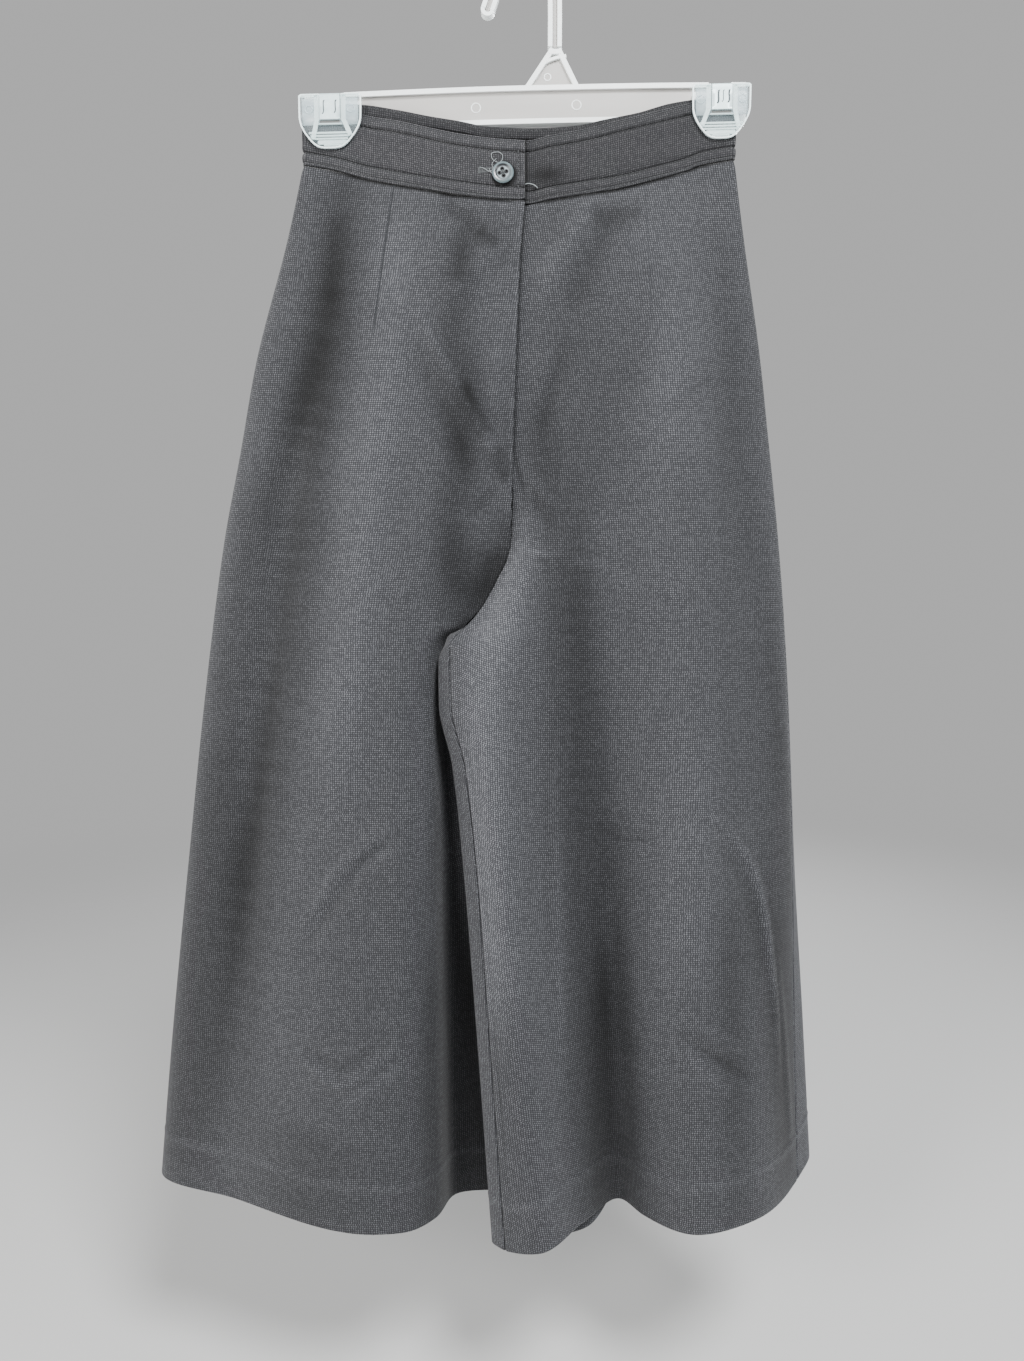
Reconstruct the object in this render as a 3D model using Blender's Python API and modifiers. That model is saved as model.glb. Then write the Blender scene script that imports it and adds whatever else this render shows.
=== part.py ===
"""High-waisted culottes hanging from a moulded clip hanger.

Millimetres in the tables, metres in Blender. +X is the wearer's left, -Y the front, +Z up, and the
origin is the top of the hook's inside, where the hanger rests on a rail. Each cloth panel is a wall
lofted through named fold lines, which run from the waist seam down to the hem.
"""
import math

import bmesh
import bpy
import numpy as np
from mathutils import Matrix, Vector

MM = 0.001

# Cloth
CLOTH = 1.6            # wall of the double knit, pressed
BAND_CLOTH = 2.6       # the waistband is folded double
SEAM_GAP = 0.4         # between pieces that are sewn together
CROTCH = (-40.0, -30.0, -505.0)    # the point where four panels meet
CROTCH_EASE = 12.0     # height over which each panel's rows straighten towards it
CROTCH_NOTCH = 2.4     # how far each panel's corner stays off it
NOTCH_REACH = 22.0     # height over which the notch closes
CROTCH_SHARE = 0.41    # the crotch's place on the way from waist seam to hem
# Rows of the loft: shares of the way from the waist seam to the crotch, and from there to the hem
ROWS_ABOVE = (0.0, 0.09, 0.18, 0.27, 0.36, 0.45, 0.54, 0.63, 0.72, 0.81, 0.90, 0.96)
ROWS_BELOW = (0.0, 0.013, 0.03, 0.055, 0.09, 0.14, 0.20, 0.28, 0.36, 0.44, 0.52, 0.60, 0.68, 0.76, 0.84, 0.92, 1.0)

# Waistband
PINCH_Y = -7.5         # plane in which the clips press the band's two layers together
LAYER = 1.6            # from that plane to the middle of each layer
FRONT_BOW_TOP = 8.0    # how far the front layer bows out at the middle, top edge
FRONT_BOW_BOTTOM = 11.0
BACK_BOW_BOTTOM = 2.0
BOW_HALF = 127.0       # half the width over which it bows
UNDERLAP = 28.0        # end of the band that lies behind the lap
LAP_STEP = 2.9         # the lap's front layer over the underlap
UNDER_RAMP = (6.0, 18.0)   # x between which the left end steps behind the lap
FLY_END_Z = -402.0     # foot of the fly's lap
FLY_UNDER = 9.0        # how far the left front runs behind the lap
FLY_STEP = 2.6         # from the middle of one front to the middle of the other, where they lap
FLY_SOFTEN = 30.0      # length over which the lap runs out into the seam

# Button
BUTTON_AT = (-16.7, -164.4)
BUTTON_R = 8.1
BUTTON_THICK = 3.2
BUTTON_RIM = 1.6
BUTTON_HOLE_R = 0.85
BUTTON_HOLE_OFF = 1.8
BUTTON_LEAN = math.radians(4.0)
BUTTON_TURN = math.radians(57.0)

# Zip
ZIP_TAPE = 24.0
ZIP_THICK = 0.9
ZIP_BACK = 5.4
SLIDER = (8.0, 2.6, 12.0)

# Hanger
HOOK_INNER_R = 17.5
HOOK_WIDTH = 10.5
HOOK_DEPTH = 7.0
HOOK_FLANGE = 3.4
WEB = 2.2
STEM_FOOT = (22.9, -63.7)
HOOK_TIP = ((-28.6, -36.8, 1.0), (-29.4, -39.4, 0.82), (-30.0, -41.3, 0.42))   # x, z, share of the section
BAR_TOP = ((-172, -99.3), (-125, -96.9), (0, -92.3), (127, -90.2), (172, -90.0))   # x, z: it sags to the ends
BAR_HEIGHT = 28.0
BAR_END = (-168.0, 169.0)
FLANGE_DEPTH = 7.0
FLANGE = 3.6
GUSSET = ((0.5, -92.0), (18.5, -65.4), (27.6, -65.4), (41.0, -91.0))
JAWS = {"right": (-147.7, -103.0, 47.5), "left": (148.7, -95.7, 44.4)}   # x of middle, z of top, width
JAW_HEIGHT = 40.2
JAW_THICK = 2.8
JAW_RIM = 1.8
JAW_SINK = 1.2
JAW_TILT = 0.0245      # the clips lean with the bar
# Jaw's outline: share of its height, share of its half width
JAW_SHAPE = ((0.0, 0.93), (0.03, 1.0), (0.45, 0.995), (0.57, 0.96), (0.66, 0.88), (0.75, 0.78), (0.84, 0.65),
             (0.91, 0.50), (0.965, 0.32), (1.0, 0.12))
BACK_JAW = (-4.3, -0.9)
BACK_JAW_SHRINK = 0.93
SPRING_WIDTH = 15.4
SPRING_THICK = 0.8
SPRING_LEG = 19.6
BAR_NOTCH = 5.6        # the bar and the jaw are notched so that the spring lies level with them
JAW_NOTCH = 3.2

# The waistband's edges: x, z of its top, z of its foot
BAND_FRONT_RIGHT = (
    (-168, -106.5, -154.0), (-145, -111.0, -158.0), (-120, -117.5, -164.7), (-97, -122.0, -170.0),
    (-73, -128.0, -174.9), (-50, -133.3, -179.2), (-21, -137.5, -183.0), (0, -139.0, -184.0))
BAND_FRONT_LEFT = (
    (-30, -139.5, -187.5), (0, -138.0, -186.5), (25, -134.0, -182.5), (49, -129.0, -178.3),
    (73, -122.3, -173.6), (98, -115.5, -166.2), (122, -109.0, -158.8), (134, -106.3, -154.2),
    (159, -102.0, -149.7))
BAND_BACK = (
    (-168, -106.5, -154.0), (-125, -107.8, -156.0), (-98, -111.5, -159.5), (-74, -116.0, -164.0),
    (-50, -119.8, -167.8), (-27, -124.0, -171.5), (4, -125.0, -172.5), (38, -123.2, -171.0),
    (62, -118.4, -166.5), (86, -113.7, -161.5), (110, -107.1, -155.0), (128, -104.2, -152.0),
    (159, -102.0, -149.7))

# Fold lines: name, x on the waist seam, then rows of z, x, y down to the hem
SIDE_RIGHT = ("side", -167, (
    (-215, -183.5, -5), (-300, -208, -4), (-370, -222.5, -3), (-438, -236.5, -2), (-565, -255.5, -1),
    (-690, -271, 0), (-830, -287, 0), (-957, -300, 0)))
SIDE_LEFT = ("side", 158, (
    (-215, 169, -5), (-300, 183, -4), (-370, 192, -3), (-438, 200, -3), (-505, 206, -3),
    (-565, 210, -3), (-690, 216, -4), (-830, 220, -6), (-962, 225.5, -7)))
FRONT_RISE = (
    (-215, -3, -23), (-300, -7, -28), (-402, -10, -30), (-438, -10.5, -31), (-478, -19, -32),
    (-494, -27, -32))
BACK_RISE = (
    (-215, -3, 9), (-300, -7, 15), (-370, -9, 17), (-438, -13, 13), (-478, -24, 0),
    (-494, -32, -12))
INSEAM_RIGHT = ((-511, -38.5, -20), (-520, -38, -14), (-565, -33, -4), (-690, -26, 2), (-830, -20, 5), (-979, -13, 8))
INSEAM_LEFT = (
    (-520, -57, -42), (-565, -56, -43.5), (-610, -46, -45), (-690, -38.5, -49), (-830, -29, -56),
    (-985, -18, -64))

FRONT_RIGHT = (
    SIDE_RIGHT,
    ("outer", -128, (
        (-215, -138, -19), (-300, -157, -24), (-438, -181, -27), (-565, -198, -28), (-690, -209, -29),
        (-830, -221, -30), (-964, -231, -31))),
    ("ridge", -72, (
        (-215, -76, -25), (-300, -88, -35), (-438, -107, -43), (-505, -116, -45), (-690, -118, -51),
        (-830, -115, -55), (-976, -112, -58.5))),
    ("brow", -50, (
        (-215, -54, -26), (-300, -64, -35), (-438, -80, -43), (-505, -90, -45), (-565, -93, -45),
        (-690, -90.5, -49), (-978, -90, -51.5))),
    ("roll", -34, (
        (-215, -38, -26), (-300, -46, -33), (-438, -60, -40), (-505, -72, -40), (-520, -73, -38),
        (-565, -74, -31), (-690, -73.5, -32), (-979, -71.5, -33))),
    ("hollow", -18, (
        (-215, -22, -25), (-300, -30, -31), (-438, -39, -35), (-505, -56, -35), (-511, -58.5, -30), (-520, -62, -25),
        (-565, -62, -12), (-690, -60, -8), (-830, -59, -5), (-979, -57, 0))),
    ("centre", 0, FRONT_RISE, INSEAM_RIGHT))
FRONT_LEFT = (
    SIDE_LEFT,
    ("outer", 128, (
        (-215, 135, -18), (-300, 147, -23), (-438, 163, -26), (-565, 168, -31), (-690, 171, -37),
        (-830, 175, -45), (-968, 178, -54))),
    ("ridge", 99, (
        (-215, 107, -22), (-300, 118, -33), (-438, 130, -41), (-505, 132, -43), (-690, 128, -51),
        (-830, 128, -56), (-973, 128, -63))),
    ("step", 78, (
        (-215, 84, -25), (-300, 93, -33), (-438, 102, -40), (-505, 99, -41), (-565, 95, -41),
        (-690, 92.5, -40), (-830, 94, -39), (-975, 96, -36))),
    ("gully", 59, (
        (-215, 64, -26), (-300, 73, -32), (-438, 76, -36), (-505, 70, -35), (-565, 65, -33),
        (-690, 65, -28), (-830, 72, -20), (-974, 79, -14.5))),
    ("slope", 38, (
        (-215, 41, -26), (-300, 44, -30), (-438, 40, -34), (-505, 26, -37), (-565, 17, -41),
        (-690, 17, -42), (-830, 28, -43), (-976, 46, -44))),
    ("brow", 17, (
        (-215, 17, -25), (-300, 16, -28), (-438, 9, -33), (-505, -14, -41), (-520, -28, -46),
        (-565, -32, -50), (-690, -23, -56), (-830, -9, -63), (-983, 12, -71))),
    ("centre", 0, FRONT_RISE, INSEAM_LEFT))
BACK_RIGHT = (
    SIDE_RIGHT,
    ("bulge", -165, (
        (-215, -182, 1), (-300, -207, 4), (-438, -236, 7), (-565, -255, 8), (-690, -270.5, 9),
        (-957, -299, 9))),
    ("hip", -124, (
        (-215, -134, 8), (-300, -153, 15), (-438, -176, 19), (-565, -194, 19), (-690, -206, 18),
        (-960, -230, 17))),
    ("mid", -79, (
        (-215, -85, 9), (-300, -98, 18), (-438, -115, 21), (-565, -130, 20), (-690, -138, 20),
        (-830, -148, 22), (-965, -155, 24))),
    ("inner", -32, (
        (-215, -35, 9), (-300, -41, 17), (-438, -53, 19), (-505, -64, 15), (-565, -68, 18),
        (-690, -72, 19), (-830, -76, 18), (-975, -78, 20))),
    ("centre", 0, BACK_RISE, INSEAM_RIGHT))
BACK_LEFT = (
    SIDE_LEFT,
    ("bulge", 156, (
        (-215, 168, 0), (-300, 183, 3), (-370, 193, 4), (-438, 201, 5), (-505, 208, 6),
        (-565, 213, 7), (-690, 220.5, 8), (-830, 231, 8), (-951, 239.5, 8))),
    ("hip", 118, (
        (-215, 126, 8), (-300, 137, 15), (-438, 150, 18), (-565, 160, 17), (-690, 167, 16),
        (-830, 175, 16), (-958, 185, 15))),
    ("mid", 75, (
        (-215, 80, 9), (-300, 86, 17), (-438, 94, 20), (-505, 99, 18), (-690, 110, 16),
        (-965, 134, 15))),
    ("tuck", 44, (
        (-215, 47, 9), (-300, 50, 17), (-438, 54, 20), (-505, 58, 15), (-565, 62, 10),
        (-690, 70, 9), (-830, 76, 9), (-975, 82, 10))),
    ("rear", 18, (
        (-215, 18, 9), (-300, 17, 16), (-438, 12, 18), (-470, 10, 12), (-490, 8, -6), (-505, 7, -20),
        (-520, 4, -25), (-565, 5, -27), (-690, 18, -29), (-830, 34, -29), (-988, 52, -27))),
    ("edge", 8, (
        (-215, 5, 9), (-300, 1, 15), (-438, -5, 15), (-478, -16, 3), (-494, -26, -14), (-505, -32, -27.5),
        (-520, -64, -37), (-565, -62.5, -37), (-610, -54, -39), (-690, -46.8, -43),
        (-830, -36.5, -50), (-985, -25.5, -58))),
    ("centre", 0, BACK_RISE, INSEAM_LEFT))

# Steps between neighbouring fold lines, from the side seam to the centre
STEPS = {
    "front_right": (4, 4, 2, 2, 2, 3),
    "front_left": (4, 3, 3, 2, 3, 3, 3),
    "back_right": (2, 3, 3, 4, 4),
    "back_left": (2, 3, 3, 3, 4, 4, 3),
}
PANELS = {
    "front_right": FRONT_RIGHT, "front_left": FRONT_LEFT,
    "back_right": BACK_RIGHT, "back_left": BACK_LEFT,
}
OTHER_HALF = {    # the panel across the centre seam, above the crotch
    "front_right": "front_left", "front_left": "front_right",
    "back_right": "back_left", "back_left": "back_right",
}
SAME_LEG = {      # the panel across the side seam and the inseam
    "front_right": "back_right", "front_left": "back_left",
    "back_right": "front_right", "back_left": "front_left",
}
OUTWARD = {"front_right": -1, "front_left": 1, "back_right": 1, "back_left": -1}

FINISHES = {      # colour, roughness, metallic
    "cloth": ((0.065, 0.070, 0.080), 0.9, 0.0),
    "zip": ((0.03, 0.03, 0.035), 0.7, 0.0),
    "button": ((0.16, 0.20, 0.24), 0.35, 0.0),
    "clear plastic": ((0.85, 0.90, 0.90), 0.2, 0.0),
    "spring steel": ((0.80, 0.82, 0.82), 0.3, 1.0),
}


def smooth(at, value, x):
    """Monotone cubic through the points (at, value), read at x; at rises."""
    at, value, x = (np.asarray(a, float) for a in (at, value, x))
    step = np.diff(at)
    rise = np.diff(value) / step
    slope = np.zeros(len(at))
    slope[0], slope[-1] = rise[0], rise[-1]
    same_way = rise[:-1] * rise[1:] > 0
    before, after = 2 * step[1:] + step[:-1], step[1:] + 2 * step[:-1]
    safe = np.where(same_way, rise[:-1], 1), np.where(same_way, rise[1:], 1)
    slope[1:-1] = np.where(same_way, (before + after) / (before / safe[0] + after / safe[1]), 0)
    x = np.clip(x, at[0], at[-1])
    i = np.clip(np.searchsorted(at, x, side="right") - 1, 0, len(at) - 2)
    u = (x - at[i]) / step[i]
    return ((2 * u**3 - 3 * u**2 + 1) * value[i] + (u**3 - 2 * u**2 + u) * step[i] * slope[i]
            + (3 * u**2 - 2 * u**3) * value[i + 1] + (u**3 - u**2) * step[i] * slope[i + 1])


def bow(x):
    """Share of the waistband's bow at x: 1 in the middle, 0 inside the clips."""
    return np.clip(1 - (np.asarray(x, float) / BOW_HALF) ** 2, 0, 1) ** 1.3


def band_edges(side, x):
    """Middle of the band's top and foot at x, each as an array of x, y, z."""
    table = {"front_right": BAND_FRONT_RIGHT, "front_left": BAND_FRONT_LEFT}.get(side, BAND_BACK)
    xs, tops, feet = np.array(table, float).T
    x = np.asarray(x, float)
    if side.startswith("front"):
        y_top = PINCH_Y - LAYER - FRONT_BOW_TOP * bow(x)
        y_foot = PINCH_Y - LAYER - FRONT_BOW_BOTTOM * bow(x)
    else:
        y_top = PINCH_Y + LAYER + 0 * x
        y_foot = PINCH_Y + LAYER + BACK_BOW_BOTTOM * bow(x)
    return (np.stack([x, y_top, smooth(xs, tops, x)], -1), np.stack([x, y_foot, smooth(xs, feet, x)], -1))


def fold_line(panel, line, share):
    """Points of one fold line at each share of the way from waist seam to hem."""
    name, waist_x, rows, *below = line
    waist = band_edges(panel, waist_x)[1]
    waist[2] -= SEAM_GAP
    if name == "side":
        waist[1] = PINCH_Y
    table = np.array([(waist[2], waist_x, waist[1]), *rows], float)
    if not below:
        turn_z = waist[2] + CROTCH_SHARE * (table[-1, 0] - waist[2])
        z = np.interp(share, (0, CROTCH_SHARE, 1), (waist[2], turn_z, table[-1, 0]))
        x, y = (smooth(-table[:, 0], table[:, k], -z) for k in (1, 2))
        return np.stack([x, y, z], -1)
    crotch = (CROTCH[2], CROTCH[0], CROTCH[1])
    table, lower = np.array([*table, crotch]), np.array([crotch, *below[0]])
    z = np.interp(share, (0, CROTCH_SHARE, 1), (waist[2], CROTCH[2], lower[-1, 0]))
    x, y = (np.where(z > CROTCH[2], smooth(-table[:, 0], table[:, k], -z), smooth(-lower[:, 0], lower[:, k], -z))
            for k in (1, 2))
    if panel.startswith("front"):
        apart = np.clip((z - FLY_END_Z) / FLY_SOFTEN + 1.3, 0, 1) * FLY_STEP / 2
        y = y + (-apart if panel == "front_right" else apart)
        if panel == "front_left":
            x = x - np.clip((z - FLY_END_Z) / FLY_SOFTEN, 0, 1) * FLY_UNDER
    return np.stack([x, y, z], -1)


def panel_shares():
    return np.concatenate([CROTCH_SHARE * np.array(ROWS_ABOVE), CROTCH_SHARE + (1 - CROTCH_SHARE) * np.array(ROWS_BELOW)])


def panel_grid(panel):
    """Middle surface of a panel and its outward normals: rows down the leg, columns from side to centre.
    Each row is a cubic through the fold lines, with tangents shared with the panel across each seam."""
    share = panel_shares()
    lines = [fold_line(panel, line, share) for line in PANELS[panel]]
    over_side = fold_line(SAME_LEG[panel], PANELS[SAME_LEG[panel]][1], share)
    over_front = fold_line(OTHER_HALF[panel], PANELS[OTHER_HALF[panel]][-2], share)
    over_inseam = fold_line(SAME_LEG[panel], PANELS[SAME_LEG[panel]][-2], share)
    beyond = np.where((share < CROTCH_SHARE - 1e-9)[:, None], over_front, over_inseam)
    near = np.clip(1 - np.abs(lines[-1][:, 2:] - CROTCH[2]) / CROTCH_EASE, 0, 1)
    beyond = beyond + near * (2 * lines[-1] - lines[-2] - beyond)
    points = np.stack([over_side, *lines, beyond], 1)
    chord = np.diff(points, axis=1)
    length = np.linalg.norm(chord, axis=2, keepdims=True)
    unit = chord / length
    tangent = (unit[:, :-1] * length[:, 1:] + unit[:, 1:] * length[:, :-1]) / (length[:, 1:] + length[:, :-1])
    own, length = points[:, 1:-1], length[:, 1:-1]
    columns, ways = [], []
    for k, steps in enumerate(STEPS[panel]):
        last = k == len(STEPS[panel]) - 1
        for u in np.arange(steps + last) / steps:
            a, b, h = own[:, k], own[:, k + 1], length[:, k]
            ta, tb = tangent[:, k], tangent[:, k + 1]
            columns.append((2*u**3 - 3*u**2 + 1) * a + (u**3 - 2*u**2 + u) * h * ta
                           + (3*u**2 - 2*u**3) * b + (u**3 - u**2) * h * tb)
            ways.append((6*u**2 - 6*u) * (a - b) / h + (3*u**2 - 4*u + 1) * ta + (3*u**2 - 2*u) * tb)
    grid, way = np.stack(columns, 1), np.stack(ways, 1)
    seat = band_edges(panel, grid[0, 1:, 0])[1]
    under = (panel == "front_left") * LAP_STEP * np.clip((UNDER_RAMP[1] - seat[:, 0]) / np.ptp(UNDER_RAMP), 0, 1)
    grid[0, 1:, 1] = seat[:, 1] + under
    grid[0, 1:, 2] = seat[:, 2] - SEAM_GAP
    way /= np.linalg.norm(way, axis=2, keepdims=True)
    normal = np.cross(way, np.gradient(grid, axis=0)) * OUTWARD[panel]
    normal /= np.linalg.norm(normal, axis=2, keepdims=True)
    near = np.clip(1 - np.abs(own[:, -1, 2] - CROTCH[2]) / NOTCH_REACH, 0, 1)[:, None]
    grid[:, 0] += way[:, 0] * SEAM_GAP / 2
    grid[:, -1] -= way[:, -1] * (SEAM_GAP / 2 + near * (CROTCH_NOTCH - SEAM_GAP / 2))
    return grid, normal


def shell(outer, inner):
    """Closed wall between two grids of points, as vertices and faces."""
    rows, columns = outer.shape[:2]
    index = np.arange(rows * columns).reshape(rows, columns)
    back = index + rows * columns
    quads = []

    def strip(a, b, c, d):
        quads.append(np.stack([a.ravel(), b.ravel(), c.ravel(), d.ravel()], 1))

    strip(index[:-1, :-1], index[1:, :-1], index[1:, 1:], index[:-1, 1:])
    strip(back[:-1, :-1], back[:-1, 1:], back[1:, 1:], back[1:, :-1])
    strip(index[0, :-1], index[0, 1:], back[0, 1:], back[0, :-1])
    strip(index[-1, :-1], back[-1, :-1], back[-1, 1:], index[-1, 1:])
    strip(index[:-1, 0], back[:-1, 0], back[1:, 0], index[1:, 0])
    strip(index[:-1, -1], index[1:, -1], back[1:, -1], back[:-1, -1])
    return np.concatenate([outer.reshape(-1, 3), inner.reshape(-1, 3)]), np.concatenate(quads)


def finish(name):
    colour, roughness, metallic = FINISHES[name]
    material = bpy.data.materials.get(name) or bpy.data.materials.new(name)
    material.use_nodes = True
    shader = material.node_tree.nodes["Principled BSDF"]
    shader.inputs["Base Color"].default_value = (*colour, 1)
    shader.inputs["Roughness"].default_value = roughness
    shader.inputs["Metallic"].default_value = metallic
    return material


def add_object(name, mesh, look, smooth_angle=40):
    made = bpy.data.objects.new(name, mesh)
    collection.objects.link(made)
    mesh.materials.clear()
    mesh.materials.append(finish(look))
    mesh.shade_smooth()
    mesh.set_sharp_from_angle(angle=math.radians(smooth_angle))
    return made


def mesh_from(name, points, faces):
    """Mesh in metres from points in millimetres, with its faces turned outwards."""
    mesh = bpy.data.meshes.new(name)
    mesh.from_pydata((np.asarray(points) * MM).tolist(), [], np.asarray(faces).tolist())
    built = bmesh.new()
    built.from_mesh(mesh)
    bmesh.ops.recalc_face_normals(built, faces=built.faces)
    built.to_mesh(mesh)
    built.free()
    return mesh


def mesh_of(built, name):
    mesh = bpy.data.meshes.new(name)
    bmesh.ops.recalc_face_normals(built, faces=built.faces)
    built.to_mesh(mesh)
    built.free()
    return mesh


def make_panel(name):
    grid, normal = panel_grid(name)
    points, faces = shell(grid + normal * CLOTH / 2, grid - normal * CLOTH / 2)
    add_object(name, mesh_from(name, points, faces), "cloth", 60)


def band_path():
    """Middle of the waistband's top and foot, from the end of its underlap round to the end of its lap."""
    tops, feet = [], []

    def stretch(side, xs, step=0.0):
        top, foot = band_edges(side, xs)
        top[:, 1] += step
        foot[:, 1] += step
        tops.extend(top)
        feet.extend(foot)

    def turn(side, sign):
        top, foot = (e[0] for e in band_edges(side, [sign * 200.0]))
        edge_x = BAND_BACK[0 if sign < 0 else -1][0]
        for angle in (np.radians((-60, -20, 20, 60)) if sign > 0 else np.radians((60, 20, -20, -60))):
            x = edge_x - sign * LAYER + sign * LAYER * math.cos(angle)
            y = PINCH_Y + LAYER * math.sin(angle)
            tops.append(np.array([x, y, top[2]]))
            feet.append(np.array([x, y, foot[2]]))

    left_end, right_end = BAND_BACK[-1][0] - LAYER, BAND_BACK[0][0] + LAYER
    stretch("front_left", np.linspace(-UNDERLAP, UNDER_RAMP[0], 4), LAP_STEP)
    stretch("front_left", np.linspace(UNDER_RAMP[1], left_end, 14))
    turn("front_left", 1)
    stretch("back", np.linspace(left_end, right_end, 28))
    turn("front_right", -1)
    stretch("front_right", np.linspace(right_end, 0, 15))
    return np.array(tops), np.array(feet)


def make_waistband():
    tops, feet = band_path()
    along = np.gradient((tops + feet) / 2, axis=0)
    outward = np.cross(along, tops - feet)
    outward /= np.linalg.norm(outward, axis=1, keepdims=True)
    half = outward * BAND_CLOTH / 2
    points, faces = shell(np.stack([tops + half, feet + half], 1), np.stack([tops - half, feet - half], 1))
    add_object("waistband", mesh_from("waistband", points, faces), "cloth", 50)


def make_zip():
    """Tape behind the lap, and the slider at its head."""
    share = np.linspace(0, 1, 60)
    line = fold_line("front_right", FRONT_RIGHT[-1], share)
    line = line[line[:, 2] > FLY_END_Z - 12][1:]
    line = line[:: 2]
    across = np.array([-0.62, -0.2, 0.2, 0.38])[None, :, None] * np.array([ZIP_TAPE, 0, 0])
    middle = line[:, None, :] + across + np.array([0, ZIP_BACK, 0])
    front, back = middle - [0, ZIP_THICK / 2, 0], middle + [0, ZIP_THICK / 2, 0]
    points, faces = shell(front, back)
    add_object("zip", mesh_from("zip", points, faces), "zip")
    built = bmesh.new()
    head = line[1] + [-0.1 * ZIP_TAPE, ZIP_BACK + ZIP_THICK / 2 + 0.5 + SLIDER[1] / 2, -SLIDER[2] / 2]
    bmesh.ops.create_cube(built, size=MM)
    bmesh.ops.scale(built, vec=SLIDER, verts=built.verts)
    bmesh.ops.translate(built, vec=Vector(head) * MM, verts=built.verts)
    bmesh.ops.bevel(built, geom=built.edges[:], offset=0.6 * MM, segments=1, affect="EDGES")
    add_object("zip_slider", mesh_of(built, "zip_slider"), "spring steel")


def evaluated_mesh(made):
    graph = bpy.context.evaluated_depsgraph_get()
    mesh = bpy.data.meshes.new_from_object(made.evaluated_get(graph))
    mesh.transform(made.matrix_world)
    return mesh


def boolean(base, tools, operation):
    """Base joined with, or cut by, each tool in turn; the tools are removed."""
    for tool in tools:
        change = base.modifiers.new("shape", "BOOLEAN")
        change.object, change.operation, change.solver = tool, operation, "EXACT"
        bpy.context.view_layer.update()
        mesh = evaluated_mesh(base)
        base.modifiers.clear()
        base.data = mesh
        bpy.data.objects.remove(tool)
    return base


def loose(name, mesh):
    made = bpy.data.objects.new(name, mesh)
    cutters.objects.link(made)
    return made


def slab(name, outline, y_from, y_to):
    """Outline of x, z points raised along Y between two depths."""
    built = bmesh.new()
    corners = [built.verts.new((x * MM, y_from * MM, z * MM)) for x, z in outline]
    face = built.faces.new(corners)
    raised = bmesh.ops.extrude_face_region(built, geom=[face])["geom"]
    moved = [g for g in raised if isinstance(g, bmesh.types.BMVert)]
    bmesh.ops.translate(built, vec=(0, (y_to - y_from) * MM, 0), verts=moved)
    return mesh_of(built, name)


def rail(name, start, end, width, depth):
    """Box along the line from start to end in the plane y = 0, its ends half a width past them."""
    (x0, z0), (x1, z1) = start, end
    length = math.hypot(x1 - x0, z1 - z0)
    built = bmesh.new()
    bmesh.ops.create_cube(built, size=MM)
    bmesh.ops.scale(built, vec=(length + width * 0.8, depth, width), verts=built.verts)
    turn = Matrix.Rotation(-math.atan2(z1 - z0, x1 - x0), 4, "Y")
    shift = Matrix.Translation(Vector(((x0 + x1) / 2, 0, (z0 + z1) / 2)) * MM)
    bmesh.ops.transform(built, matrix=shift @ turn, verts=built.verts)
    return loose(name, mesh_of(built, name))


def jaw_outline(side, scale=1.0):
    """Straight sides that round into a narrower foot, about the middle of the jaw."""
    middle, top, width = JAWS[side]
    right = [(width / 2 * half, -JAW_HEIGHT * down) for down, half in JAW_SHAPE]
    whole = right + [(-x, z) for x, z in reversed(right)]
    centre = -JAW_HEIGHT / 2
    whole = [(x * scale, centre + (z - centre) * scale) for x, z in whole]
    return [(middle + x, top + z + JAW_TILT * x) for x, z in whole]


def spring_notch(name, side, depth):
    middle, top, _ = JAWS[side]
    half = SPRING_WIDTH / 2 + 0.6
    box = [(middle - half, top + 12), (middle + half, top + 12), (middle + half, top - depth), (middle - half, top - depth)]
    return loose(name, slab(name, box, -20, 12))


def bar_top(x):
    xs, zs = zip(*BAR_TOP)
    return smooth(xs, zs, x)


def bar_strip(name, x_from, x_to, above, below, depth):
    """Length of the bar between two distances below its top."""
    xs = np.linspace(x_from, x_to, 9)
    tops = bar_top(xs)
    outline = [*zip(xs, tops - above), *reversed([*zip(xs, tops - below)])]
    return slab(name, outline, -depth / 2, depth / 2)


def make_hanger_frame():
    """Bar of I section with a gusset, and a back jaw at each end."""
    x0, x1 = BAR_END
    web = bar_strip("hanger_frame", x0, x1, 0.3, BAR_HEIGHT - 0.3, WEB)
    frame = add_object("hanger_frame", web, "clear plastic")
    (ax, az), (bx, bz), (cx, cz), (dx, dz) = GUSSET
    sunk = 2.0
    gusset = slab("gusset", [(ax, az - sunk), (bx, bz), (cx, cz), (dx, dz - sunk)], -WEB / 2 + 0.05, WEB / 2 - 0.05)
    foot = bar_strip("foot_flange", x0 + 30, x1 - 30, BAR_HEIGHT - FLANGE, BAR_HEIGHT, FLANGE_DEPTH)
    tools = [
        loose("gusset", gusset),
        loose("top_flange", bar_strip("top_flange", x0 + 1, x1 - 1, 0, FLANGE, FLANGE_DEPTH)),
        loose("foot_flange", foot),
        rail("gusset_right", (ax + 1.5, az - 1), (bx + 1.8, bz - 1.0), FLANGE, HOOK_DEPTH - 0.3),
        rail("gusset_left", (cx - 1.4, cz - 1.2), (dx - 1.8, dz - 1), FLANGE, HOOK_DEPTH - 0.5),
        rail("gusset_head", (bx + 1, bz - 1.9), (cx - 1, cz - 1.9), FLANGE, HOOK_DEPTH),
    ]
    for side in JAWS:
        back = slab("back_jaw_" + side, jaw_outline(side, BACK_JAW_SHRINK), *BACK_JAW)
        tools.append(loose("back_jaw_" + side, back))
    boolean(frame, tools, "UNION")
    boolean(frame, [spring_notch("notch_" + side, side, BAR_NOTCH) for side in JAWS], "DIFFERENCE")


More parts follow.
